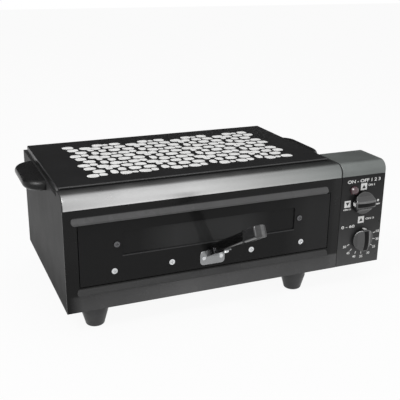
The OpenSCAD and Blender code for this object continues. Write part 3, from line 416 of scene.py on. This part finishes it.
def grey_cover():
    """Dark greenish grey metallic enamel of the control box's cover."""
    paint = Paint("grey_enamel", metallic=0.5, specular=0.3)
    paint.flaked(paint.mottle((0.2, 0.215, 0.208), 0.1, 18))
    paint.rough(0.3, 0.42, 30)
    return paint.peel(0.04)


def smoked_glass():
    """Dark glass that lets a little of the oven's inside show, with painted light that makes it paler
    across its middle.
    """
    paint = Paint("smoked_glass", specular=0.06)
    lo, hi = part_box("window_glass")
    dark, pale = (0.012, 0.012, 0.0123), (0.037, 0.0373, 0.0378)
    # painted light: paler across the middle of the pane
    across = paint.along("X", lo.x, hi.x)
    paint.color(paint.ramp(across, (0.1, dark), (0.3, pale), (0.66, pale), (0.84, dark)))
    paint.rough(0.08, 0.14, 25)
    paint.set("Transmission Weight", 0.15)
    paint.set("IOR", 1.5)
    return paint


def red_lens():
    """Dark red lens with a polished face."""
    paint = Paint("lamp_red", specular=0.5)
    paint.color(paint.mottle((0.07, 0.028, 0.036), 0.15, 120))
    paint.rough(0.14, 0.2, 200)
    paint.set("Coat Weight", 1.0)
    return paint


def sleeve():
    """Braided sleeve of the leads."""
    paint = Paint("lead_sleeve", rough=0.8)
    paint.color(paint.mottle((0.5, 0.4, 0.16), 0.3, 500))
    return paint.bump(paint.noise(1600, 2.0), 0.4, 0.0003)


def pebble_print():
    """Pale print of the pebbles, cloudy like stone."""
    paint = Paint("pebble_print", rough=0.5, specular=0.3)
    broad = paint.ramp(paint.noise(70, 2.0), (0.3, (0.84, 0.84, 0.83)), (0.7, (0.97, 0.97, 0.96)))
    fine = paint.ramp(paint.noise(900, 3.0), (0.3, grey(0.92)), (0.7, WHITE))
    paint.color(paint.blend(broad, fine))
    paint.rough(0.4, 0.6, 200)
    return paint.bump(paint.noise(700, 3.0), 0.15, 0.0002)


def white_print():
    """White print of the marks and pointers."""
    paint = Paint("white_print", rough=0.5, specular=0.3)
    paint.color(paint.mottle((0.8, 0.8, 0.79), 0.06, 300))
    paint.rough(0.4, 0.6, 200)
    return paint.bump(paint.noise(1500, 2.0), 0.1, 0.0001)


PAINTS = {
    # the shell's two colours are the ends of its painted shade
    "shell": shell_enamel(grey(0.001), (0.047, 0.047, 0.0473)),
    # the front's bead and lip colours are painted highlight and painted reflection
    "front": front_enamel((0.005, 0.005, 0.0051), (0.1, 0.1, 0.101), (0.115, 0.115, 0.116)),
    # the drawer's second colour is the painted highlight under its window
    "drawer": drawer_enamel((0.012, 0.012, 0.0122), (0.05, 0.05, 0.051)),
    # the panel's low colour is painted light at its lower edge
    "panel": panel_enamel((0.008, 0.008, 0.0082), (0.082, 0.082, 0.083)),
    "lid": enamel("lid_enamel", (0.019, 0.019, 0.0195), 0.32, 0.2, 0.08),
    # the lid edge's paler colour is a painted highlight
    "lid_edge": enamel("lid_edge_enamel", (0.07, 0.07, 0.071), 0.32, 0.2, 0.08),
    "band": silver_band(),
    "cover": grey_cover(),
    "bakelite": grip_plastic(),
    "ear": plastic("ear_plastic", (0.015, 0.015, 0.0152), 0.24, 0.16, 0.05),
    "knob": plastic("knob_plastic", (0.011, 0.0113, 0.0113), 0.12, 0.9, 0.03),
    # the crest is dull, and painted darker as shade
    "crest": plastic("knob_crest", (0.006, 0.006, 0.0061), 0.4, 0.12, 0.08),
    # painted highlight on the upper edge of the selector's grip
    "knob_grip_highlight": plastic("knob_grip_highlight", (0.16, 0.16, 0.161), 0.3, 0.5, 0.03),
    # the rim's paler colour is a painted highlight
    "knob_rim": plastic("knob_rim", (0.035, 0.035, 0.0355), 0.14, 0.9, 0.03),
    "foot": plastic("foot_plastic", (0.035, 0.035, 0.036), 0.45, 0.4),
    "liner": metal("liner_steel", (0.42, 0.43, 0.44), 0.38, (1, 1, 8)),
    "element": metal("element_steel", (0.11, 0.1, 0.095), 0.5),
    "ceramic": plastic("ceramic", (0.72, 0.69, 0.62), 0.5),
    "phenolic": plastic("phenolic", (0.09, 0.06, 0.04), 0.45),
    "zinc": metal("switch_steel", (0.5, 0.51, 0.52), 0.3),
    "bright": metal("bright_steel", (0.66, 0.67, 0.68), 0.2),
    "bracket": metal("bracket_steel", (0.28, 0.285, 0.29), 0.3),
    "dark_screw": metal("black_screw", (0.12, 0.12, 0.125), 0.25),
    "tray": metal("tray_metal", (0.62, 0.63, 0.64), 0.34, (1, 10, 1)),
    "glass": smoked_glass(),
    "lamp": red_lens(),
    "holder": plastic("lamp_body", (0.66, 0.64, 0.58), 0.5),
    "rubber": plastic("black_rubber", grey(0.02), 0.7, 0.3, 0.3),
    "leads": sleeve(),
    "pebbles": pebble_print(),
    "white": white_print(),
}

FINISHES = {
    "shell": ["outer_shell", "base_plate", "control_box_shell"],
    "front": ["front_panel"],
    "drawer": ["drawer_front"],
    "panel": ["control_panel"],
    "lid": ["lid"],
    "band": ["front_band"],
    "cover": ["control_box_cover"],
    "bakelite": ["drawer_handle"],
    "ear": ["left_carry_handle", "right_carry_handle"],
    "knob": ["selector_knob", "timer_knob"],
    "foot": ["front_left_foot", "front_right_foot", "rear_left_foot", "rear_right_foot"],
    "liner": ["oven_liner", "left_runner", "right_runner", "element_bars"],
    "element": ["upper_element", "lower_element"],
    "ceramic": ["element_insulators", "terminal_block"],
    "phenolic": ["selector_switch"],
    "zinc": ["timer_unit", "panel_nuts", "selector_shaft", "timer_shaft", "carry_handle_screws",
             "foot_screws", "foot_nuts", "tray_nuts", "window_clips"],
    "bright": ["bracket_rivets", "tray_screws", "handle_screw", "tray_grill"],
    "bracket": ["handle_bracket"],
    "dark_screw": ["window_screws", "back_screws"],
    "tray": ["tray", "tray_rails"],
    "glass": ["window_glass"],
    "lamp": ["lamp_lens"],
    "holder": ["lamp_holder"],
    "rubber": ["wire_grommet", "cord_gland"],
    "leads": ["wiring"],
}
FINISH_OF = {node: finish for finish, nodes in FINISHES.items() for node in nodes}
BODY_OF = {node: body for body, nodes in frame["record"]["behaviour"]["bodies"].items() for node in nodes}

for node, cad in frame["nodes"].items():
    cad.data.materials.clear()
    cad.data.materials.append(PAINTS[FINISH_OF[node]].material)


# Pieces

def add_piece(name, mesh, finish, body):
    """A piece of the dressed part, which rides on a body of the frame."""
    piece = bpy.data.objects.new(name, mesh)
    bpy.context.scene.collection.objects.link(piece)
    mesh.materials.clear()
    mesh.materials.append(PAINTS[finish].material)
    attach(piece, body)
    return piece


def applied(piece):
    """Fixes a piece's modifiers into its mesh."""
    graph = bpy.context.evaluated_depsgraph_get()
    mesh = bpy.data.meshes.new_from_object(piece.evaluated_get(graph))
    piece.modifiers.clear()
    piece.data = mesh
    return mesh


def smooth(mesh, degrees):
    """Shades a mesh smooth, apart from edges that are sharper than an angle."""
    mesh.shade_smooth()
    mesh.set_sharp_from_angle(angle=math.radians(degrees))


def rounded(node, width, segments=2, limit=35):
    """A copy of a node whose sharp edges are rounded, which stands for the node."""
    mesh = frame["nodes"][node].data.copy()
    form = bmesh.new()
    form.from_mesh(mesh)
    bmesh.ops.remove_doubles(form, verts=form.verts, dist=MERGE)
    bmesh.ops.dissolve_limit(form, angle_limit=math.radians(FLAT_DEG), verts=form.verts, edges=form.edges)
    form.to_mesh(mesh)
    form.free()
    smooth(mesh, limit)
    piece = add_piece(node + "_skin", mesh, FINISH_OF[node], BODY_OF[node])
    bevel = piece.modifiers.new("edges", "BEVEL")
    bevel.width = width * MM
    bevel.segments = segments
    bevel.limit_method = "ANGLE"
    bevel.angle_limit = math.radians(limit)
    bevel.harden_normals = True
    applied(piece)
    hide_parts(node)
    return piece


EDGES = {
    "outer_shell": 0.5, "front_panel": 0.5, "front_band": 0.5, "control_box_shell": 0.5,
    "control_box_cover": 0.5, "control_panel": 0.5, "drawer_front": 0.6, "lid": 1.0, "base_plate": 0.4,
    "handle_bracket": 0.7, "tray": 0.4, "window_glass": 0.3,
    "front_left_foot": 0.5, "front_right_foot": 0.5, "rear_left_foot": 0.5, "rear_right_foot": 0.5,
    "left_carry_handle": 0.4, "right_carry_handle": 0.4, "terminal_block": 0.5, "selector_switch": 0.6,
}
skins = {node: rounded(node, width) for node, width in EDGES.items()}


def repaint(piece, finish, pick):
    """Gives the faces that pick chooses, by their normal and middle, another finish."""
    index = len(piece.data.materials)
    piece.data.materials.append(PAINTS[finish].material)
    for face in piece.data.polygons:
        if pick(face.normal, face.center):
            face.material_index = index


def moulded(node):
    """A copy of a node with all its edges softened as in a mould, which stands for the node."""
    mesh = frame["nodes"][node].data.copy()
    piece = add_piece(node + "_skin", mesh, FINISH_OF[node], BODY_OF[node])
    remesh = piece.modifiers.new("even", "REMESH")
    remesh.mode = "VOXEL"
    remesh.voxel_size = MOULD_GRID * MM
    soften = piece.modifiers.new("soften", "SMOOTH")
    soften.factor = 0.5
    soften.iterations = MOULD_PASSES
    applied(piece).shade_smooth()
    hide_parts(node)
    return piece


def knob(node, across):
    """A moulded knob with a painted highlight round its rim and a dull crest on its grip, painted darker
    as shade; across is the axis that the grip is narrow along.
    """
    lo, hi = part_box(node)
    crest = (lo[across] + hi[across]) / 2
    depth = lo.y + CREST_DEPTH * MM
    piece = moulded(node)

    def on_crest(normal, at):
        return normal.y < CREST_FACING and at.y < depth and abs(at[across] - crest) < CREST_HALF * MM

    # painted highlight: lighter on the faces that slope between front and side, round the rim
    repaint(piece, "knob_rim", lambda normal, at: RIM_FACING[0] < normal.y < RIM_FACING[1])
    # painted shade: a darker, dull crest on the grip
    repaint(piece, "crest", on_crest)
    return piece


def selector_knob():
    """The selector's knob, with a painted highlight along the upper edge of its grip."""
    lo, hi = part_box("selector_knob")
    z = (lo.z + hi.z) / 2
    depth = lo.y + CREST_DEPTH * MM
    low, high = (z + rise * MM for rise in GRIP_EDGE)
    # painted highlight along the grip's upper edge
    repaint(knob("selector_knob", 2), "knob_grip_highlight", lambda normal, at: at.y < depth and low < at.z < high)


def bracket_highlight_and_shade():
    """Painted highlights on the edges of the handle bracket and on its right cheek, and painted shade on
    its left cheek.
    """
    lo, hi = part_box("handle_bracket")
    front = hi.y - (BRACKET_T + CHEEK_START) * MM
    x = (lo.x + hi.x) / 2

    def highlighted(normal, at):
        return abs(normal.y) < BRACKET_FACING and (at.x > x or at.y > front)

    # painted highlight: bright steel on the edges and the right cheek
    repaint(skins["handle_bracket"], "bright", highlighted)
    # painted shade: dark metal on the left cheek
    repaint(skins["handle_bracket"], "dark_screw", lambda normal, at: at.y < front and at.x < x)


def lid_edge_highlight():
    """A painted highlight on the lid's front edge."""

    def on_edge(normal, at):
        return normal.y < -LID_EDGE_FACING and normal.z > LID_EDGE_FACING

    repaint(skins["lid"], "lid_edge", on_edge)


selector_knob()
knob("timer_knob", 0)
bracket_highlight_and_shade()
lid_edge_highlight()


def lower_lid_top():
    """Sinks the lid's flat top by the thickness of its print."""
    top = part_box("lid")[1].z
    for vertex in skins["lid"].data.vertices:
        if vertex.co.z > top - PRINT_H * MM:
            vertex.co.z -= PRINT_H * MM


def squared(value):
    """A cosine or sine drawn outwards, so that an oval turns squarer."""
    return math.copysign(abs(value) ** PEBBLE_SQUARE, value)


def pebble(form, x, y, z, rx, ry, phase):
    """A low, slightly uneven dome of print."""
    two, three = PEBBLE_WAVES
    loops = []
    for share, rise in PEBBLE_RINGS:
        loop = []
        for i in range(PEBBLE_SIDES):
            a = 2 * math.pi * i / PEBBLE_SIDES
            wave = 1 + two * math.cos(2 * a + phase) + three * math.cos(3 * a + 2.3 * phase)
            px = x + rx * share * wave * squared(math.cos(a))
            py = y + ry * share * wave * squared(math.sin(a))
            loop.append(form.verts.new((px * MM, py * MM, z + rise * PRINT_H * MM)))
        loops.append(loop)
    for low, high in zip(loops, loops[1:]):
        for i in range(PEBBLE_SIDES):
            j = (i + 1) % PEBBLE_SIDES
            form.faces.new((low[i], low[j], high[j], high[i]))
    form.faces.new(loops[-1])
    form.faces.new(reversed(loops[0]))


def lid_pebbles():
    """The printed field of pebbles, repeated from one tile."""
    lo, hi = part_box("lid")
    left, front, z = lo.x / MM, lo.y / MM, hi.z - PRINT_H * MM
    draw = random.Random(PEBBLE_SEED)
    form = bmesh.new()
    for row in range(TILE_ROWS):
        for column in range(TILE_COLUMNS):
            for u, v, rx, ry in PEBBLES:
                x = TILE_START[0] + column * TILE[0] + u
                y = TILE_START[1] + row * TILE[1] + v
                phase = draw.uniform(0, 2 * math.pi)
                if PRINT_X[0] <= x <= PRINT_X[1] and y < PRINT_ROWS_BACK:
                    pebble(form, left + x, front + y, z, rx * PEBBLE_FILL[0], ry * PEBBLE_FILL[1], phase)
    mesh = bpy.data.meshes.new("lid_pebbles")
    form.to_mesh(mesh)
    form.free()
    smooth(mesh, degrees=40)
    return add_piece("lid_pebbles", mesh, "pebbles", "lid")


lower_lid_top()
lid_pebbles()


# Marks on the control panel and knobs

panel_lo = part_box("control_panel")[0]


def on_panel(x, z, out=0.0):
    """A point before the panel's face, from millimetres across, up and out."""
    return Vector((panel_lo.x + x * MM, panel_lo.y - out * MM, panel_lo.z + z * MM))


def middle(node):
    """Middle of a knob's face in panel millimetres."""
    lo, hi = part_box(node)
    return ((lo.x + hi.x) / 2 - panel_lo.x) / MM, ((lo.z + hi.z) / 2 - panel_lo.z) / MM


def patch(form, points):
    """A thin raised patch with the given outline, seen from the front in counter-clockwise order."""
    top = [form.verts.new(on_panel(x, z, MARK_T)) for x, z in points]
    low = [form.verts.new(on_panel(x, z, -MARK_SINK)) for x, z in points]
    form.faces.new(top)
    form.faces.new(reversed(low))
    for i in range(len(points)):
        j = (i + 1) % len(points)
        form.faces.new((top[j], top[i], low[i], low[j]))


def icon(form, x, z, up):
    """A filled square that leaves a triangle bare, which points up or down."""
    h, w, t = ICON / 2, ICON * 0.3, ICON * 0.26
    pieces = [[(-h, -h), (-w, -t), (0, t), (0, h), (-h, h)], [(0, h), (0, t), (w, -t), (h, -h), (h, h)],
              [(-h, -h), (h, -h), (w, -t), (-w, -t)]]
    for points in pieces:
        if up:
            patch(form, [(x + px, z + pz) for px, pz in reversed(points)])
        else:
            patch(form, [(x + px, z - pz) for px, pz in points])


def letters(form, words, x, z, width, height):
    """Flat raised letters that fill a width and height about a point of the panel."""
    curve = bpy.data.curves.new(words, "FONT")
    curve.body = words
    curve.size = height * MM
    curve.extrude = MARK_T * MM
    curve.offset = BOLD * MM
    text = bpy.data.objects.new(words, curve)
    bpy.context.scene.collection.objects.link(text)
    mesh = bpy.data.meshes.new_from_object(text.evaluated_get(bpy.context.evaluated_depsgraph_get()))
    places = [vertex.co for vertex in mesh.vertices]
    lo = Vector(min(place[i] for place in places) for i in range(3))
    hi = Vector(max(place[i] for place in places) for i in range(3))
    fill = Matrix.Diagonal((width * MM / (hi.x - lo.x), height * MM / (hi.y - lo.y), 1, 1))
    upright = Matrix.Translation(on_panel(x, z)) @ Matrix.Rotation(math.radians(90), 4, "X")
    mesh.transform(upright @ fill @ Matrix.Translation(-(lo + hi) / 2))
    form.from_mesh(mesh)
    bpy.data.objects.remove(text)
    bpy.data.curves.remove(curve)
    bpy.data.meshes.remove(mesh)


def dial(form, x, z):
    """Strokes and numbers round the timer knob."""
    for step in DIAL_NUMBERED:
        a = math.radians(step * DIAL_STEP_DEG)
        out = Vector((math.sin(a), math.cos(a)))
        side = Vector((out.y, -out.x)) * TICK_W / 2
        inner, outer = out * TICK_R[0], out * TICK_R[1]
        ends = [inner - side, inner + side, outer + side, outer - side]
        patch(form, [(x + e.x, z + e.y) for e in reversed(ends)])
        letters(form, str(5 * step), x + out.x * DIAL_R, z + out.y * DIAL_R, *DIAL_NUMBER)


def dot(form, x, z, r):
    turns = [math.pi * i / 8 for i in range(16)]
    patch(form, [(x + r * math.cos(a), z + r * math.sin(a)) for a in turns])


def panel_marks():
    """All that is printed on the control panel."""
    form = bmesh.new()
    sx, sz = middle("selector_knob")
    for words, x, z, width, height in WORDS:
        letters(form, words, sx + x, sz + z, width, height)
    for x, z, up in ICONS:
        icon(form, sx + x, sz + z, up)
    dot(form, sx + OFF_DOT[0], sz + OFF_DOT[1], OFF_DOT[2])
    dial(form, *middle("timer_knob"))
    mesh = bpy.data.meshes.new("panel_marks")
    form.to_mesh(mesh)
    form.free()
    return add_piece("panel_marks", mesh, "white", "case")


def pointer(node, degrees):
    """A white stroke on a knob's rim at one end of its grip."""
    lo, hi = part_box(node)
    x, z, r = (lo.x + hi.x) / 2, (lo.z + hi.z) / 2, (hi.x - lo.x) / 2
    form = bmesh.new()
    turns = [math.radians(degrees - POINTER_DEG + POINTER_DEG * i / 2) for i in range(5)]
    loops = []
    for rise, out in ((0, -POINTER_SEAT), (0, POINTER_T), (1, POINTER_T), (1, -POINTER_SEAT)):
        y = hi.y - POINTER_H[rise] * MM
        reach = r + out * MM
        places = [(x + reach * math.cos(a), y, z + reach * math.sin(a)) for a in turns]
        loops.append([form.verts.new(place) for place in places])
    for one, two in zip(loops, loops[1:] + loops[:1]):
        for i in range(4):
            form.faces.new((one[i], one[i + 1], two[i + 1], two[i]))
    for end in (0, 4):
        form.faces.new([loop[end] for loop in loops])
    bmesh.ops.recalc_face_normals(form, faces=form.faces)
    mesh = bpy.data.meshes.new(node + "_pointer")
    form.to_mesh(mesh)
    form.free()
    return add_piece(node + "_pointer", mesh, "white", BODY_OF[node])


panel_marks()
pointer("selector_knob", 180)
pointer("timer_knob", 90)


def cross(form, at, out):
    """A plus-shaped prism that cuts a screw's recess into its head."""
    arm, half, deep = CROSS_ARM * MM, CROSS_HALF * MM, CROSS_DEEP * MM
    plus = [(half, half), (half, arm), (-half, arm), (-half, half), (-arm, half), (-arm, -half),
            (-half, -half), (-half, -arm), (half, -arm), (half, -half), (arm, -half), (arm, half)]
    near = [form.verts.new((at.x + x, at.y + out * MM, at.z + z)) for x, z in plus]
    far = [form.verts.new((at.x + x, at.y - out * deep, at.z + z)) for x, z in plus]
    form.faces.new(near)
    form.faces.new(reversed(far))
    for i in range(len(plus)):
        j = (i + 1) % len(plus)
        form.faces.new((near[i], far[i], far[j], near[j]))
    bmesh.ops.recalc_face_normals(form, faces=form.faces)


def loose_parts(mesh):
    """Corners of the boxes round the loose parts of a mesh."""
    form = bmesh.new()
    form.from_mesh(mesh)
    bmesh.ops.remove_doubles(form, verts=form.verts, dist=MERGE)
    seen = set()
    boxes = []
    for start in form.verts:
        if start in seen:
            continue
        seen.add(start)
        group, waiting = [], [start]
        while waiting:
            vertex = waiting.pop()
            group.append(vertex.co.copy())
            for edge in vertex.link_edges:
                other = edge.other_vert(vertex)
                if other not in seen:
                    seen.add(other)
                    waiting.append(other)
        boxes.append([Vector(f(c[i] for c in group) for i in range(3)) for f in (min, max)])
    form.free()
    return boxes


def cross_heads(node, out):
    """A copy of screws with a cross recess in each head, which stands for the node."""
    mesh = frame["nodes"][node].data.copy()
    cutter_form = bmesh.new()
    for lo, hi in loose_parts(mesh):
        cross(cutter_form, Vector(((lo.x + hi.x) / 2, hi.y if out > 0 else lo.y, (lo.z + hi.z) / 2)), out)
    cutter_mesh = bpy.data.meshes.new("cutter")
    cutter_form.to_mesh(cutter_mesh)
    cutter_form.free()
    cutter = bpy.data.objects.new("cutter", cutter_mesh)
    bpy.context.scene.collection.objects.link(cutter)
    form = bmesh.new()
    form.from_mesh(mesh)
    bmesh.ops.remove_doubles(form, verts=form.verts, dist=MERGE)
    form.to_mesh(mesh)
    form.free()
    piece = add_piece(node + "_crossed", mesh, FINISH_OF[node], BODY_OF[node])
    cut = piece.modifiers.new("recess", "BOOLEAN")
    cut.object = cutter
    cut.solver = "EXACT"
    smooth(applied(piece), degrees=32)
    bpy.data.objects.remove(cutter)
    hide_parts(node)


cross_heads("tray_screws", -1)
cross_heads("window_screws", -1)
cross_heads("back_screws", 1)


# Stage, light and camera

def soft_box(name, at, size, radiance, mirrored):
    """A square area light that looks at the object, and that glossy surfaces mirror or not."""
    light = bpy.data.lights.new(name, "AREA")
    light.size = size
    light.energy = radiance * math.pi * size * size
    lamp = bpy.data.objects.new(name, light)
    bpy.context.scene.collection.objects.link(lamp)
    lamp.location = at
    lamp.rotation_euler = (TARGET - Vector(at)).to_track_quat("-Z", "Y").to_euler()
    lamp.visible_glossy = mirrored


def seen_rays(tree):
    """1 for what the camera sees, straight or in gloss and glass."""
    path = tree.nodes.new("ShaderNodeLightPath")
    total = path.outputs["Is Camera Ray"]
    for key in ("Is Glossy Ray", "Is Transmission Ray"):
        either = tree.nodes.new("ShaderNodeMath")
        either.operation = "MAXIMUM"
        tree.links.new(total, either.inputs[0])
        tree.links.new(path.outputs[key], either.inputs[1])
        total = either.outputs[0]
    return total


def studio_world():
    """A white backdrop, which lights the object less than it shows."""
    world = bpy.data.worlds.new("studio")
    bpy.context.scene.world = world
    world.use_nodes = True
    tree = world.node_tree
    ambient = tree.nodes["Background"]
    ambient.inputs["Color"].default_value = (1, 1, 1, 1)
    ambient.inputs["Strength"].default_value = AMBIENT
    white = tree.nodes.new("ShaderNodeBackground")
    white.inputs["Color"].default_value = (1, 1, 1, 1)
    white.inputs["Strength"].default_value = 1.0
    mix = tree.nodes.new("ShaderNodeMixShader")
    tree.links.new(seen_rays(tree), mix.inputs["Fac"])
    tree.links.new(ambient.outputs[0], mix.inputs[1])
    tree.links.new(white.outputs[0], mix.inputs[2])
    tree.links.new(mix.outputs[0], tree.nodes["World Output"].inputs["Surface"])


def stage_plane(name, corners, material):
    """A flat piece of the stage, which is no part of the object."""
    mesh = bpy.data.meshes.new(name)
    mesh.from_pydata(corners, [], [tuple(range(len(corners)))])
    mesh.materials.append(material)
    plane = bpy.data.objects.new(name, mesh)
    bpy.context.scene.collection.objects.link(plane)
    return plane


def floor():
    """A white floor that keeps a faint shadow."""
    material = bpy.data.materials.new("floor")
    material.use_nodes = True
    tree = material.node_tree
    shader = tree.nodes["Principled BSDF"]
    shader.inputs["Base Color"].default_value = (0.86, 0.86, 0.86, 1)
    shader.inputs["Roughness"].default_value = 0.9
    shader.inputs["Specular IOR Level"].default_value = 0.0
    glow = tree.nodes.new("ShaderNodeEmission")
    glow.inputs["Strength"].default_value = 1.0
    share = tree.nodes.new("ShaderNodeMath")
    share.operation = "MULTIPLY"
    share.inputs[1].default_value = FLOOR_GLOW
    tree.links.new(seen_rays(tree), share.inputs[0])
    mix = tree.nodes.new("ShaderNodeMixShader")
    tree.links.new(share.outputs[0], mix.inputs["Fac"])
    tree.links.new(shader.outputs[0], mix.inputs[1])
    tree.links.new(glow.outputs[0], mix.inputs[2])
    tree.links.new(mix.outputs[0], tree.nodes["Material Output"].inputs["Surface"])
    corners = [(x * FLOOR_HALF, y * FLOOR_HALF, 0) for x, y in ((-1, -1), (1, -1), (1, 1), (-1, 1))]
    stage_plane("floor", corners, material)


def only_gloss(card):
    """Lets nothing but glossy reflections show a card."""
    card.visible_camera = False
    card.visible_diffuse = False
    card.visible_shadow = False
    card.visible_transmission = False


def dark_card():
    """A dark card behind and above, which only gloss shows, so that upward surfaces stay black."""
    material = bpy.data.materials.new("dark_card")
    material.use_nodes = True
    tree = material.node_tree
    space = tree.nodes.new("ShaderNodeTexCoord")
    split = tree.nodes.new("ShaderNodeSeparateXYZ")
    tree.links.new(space.outputs["Object"], split.inputs["Vector"])
    reach = tree.nodes.new("ShaderNodeMapRange")
    for key, number in (("From Min", CARD_FADE[0]), ("From Max", CARD_FADE[1])):
        reach.inputs[key].default_value = number
    tree.links.new(split.outputs["Y"], reach.inputs["Value"])
    fade = tree.nodes.new("ShaderNodeValToRGB")
    fade.color_ramp.elements[0].color = (0.95, 0.95, 0.95, 1)
    fade.color_ramp.elements[1].color = (0.03, 0.03, 0.03, 1)
    fade.color_ramp.elements.new(0.35).color = (0.25, 0.25, 0.25, 1)
    tree.links.new(reach.outputs["Result"], fade.inputs["Fac"])
    glow = tree.nodes.new("ShaderNodeEmission")
    tree.links.new(fade.outputs["Color"], glow.inputs["Color"])
    tree.links.new(glow.outputs[0], tree.nodes["Material Output"].inputs["Surface"])
    profile = [(-1.6, 2.2), (0.2, 2.2), (3.0, 2.0), (3.0, 0.25)]
    for (y0, z0), (y1, z1) in zip(profile, profile[1:]):
        corners = [(-4, y0, z0), (4, y0, z0), (4, y1, z1), (-4, y1, z1)]
        only_gloss(stage_plane("dark_card", corners, material))


def bright_card():
    """A bright window at the upper left, which only gloss shows, as crisp lights on rounded edges."""
    material = bpy.data.materials.new("bright_card")
    material.use_nodes = True
    tree = material.node_tree
    glow = tree.nodes.new("ShaderNodeEmission")
    glow.inputs["Strength"].default_value = CARD_GLOW
    tree.links.new(glow.outputs[0], tree.nodes["Material Output"].inputs["Surface"])
    facing = (TARGET - CARD_AT).normalized()
    side = facing.cross(Vector((0, 0, 1))).normalized() * CARD_HALF
    rise = side.cross(facing).normalized() * CARD_HALF
    corners = [CARD_AT + side * a + rise * b for a, b in ((-1, -1), (1, -1), (1, 1), (-1, 1))]
    only_gloss(stage_plane("bright_card", corners, material))


def camera():
    """The photograph's view."""
    data = bpy.data.cameras.new("camera")
    data.sensor_width = SENSOR_MM
    data.lens = FOCAL_PX / IMAGE_PX * SENSOR_MM
    eye = bpy.data.objects.new("camera", data)
    bpy.context.scene.collection.objects.link(eye)
    back = -CAMERA_FORWARD.normalized()
    right = CAMERA_UP.cross(back).normalized()
    up = back.cross(right)
    eye.matrix_world = Matrix.Translation(CAMERA_AT) @ Matrix((right, up, back)).transposed().to_4x4()
    bpy.context.scene.camera = eye


studio_world()
floor()
dark_card()
bright_card()
soft_box("key", at=(-1.05, -0.5, 1.5), size=0.6, radiance=9.0, mirrored=True)
soft_box("fill", at=(0.7, -1.6, 0.9), size=1.2, radiance=1.4, mirrored=False)
soft_box("top", at=(0.2, 0.1, 2.0), size=1.6, radiance=1.1, mirrored=False)
camera()
bpy.context.scene.view_settings.view_transform = "Standard"
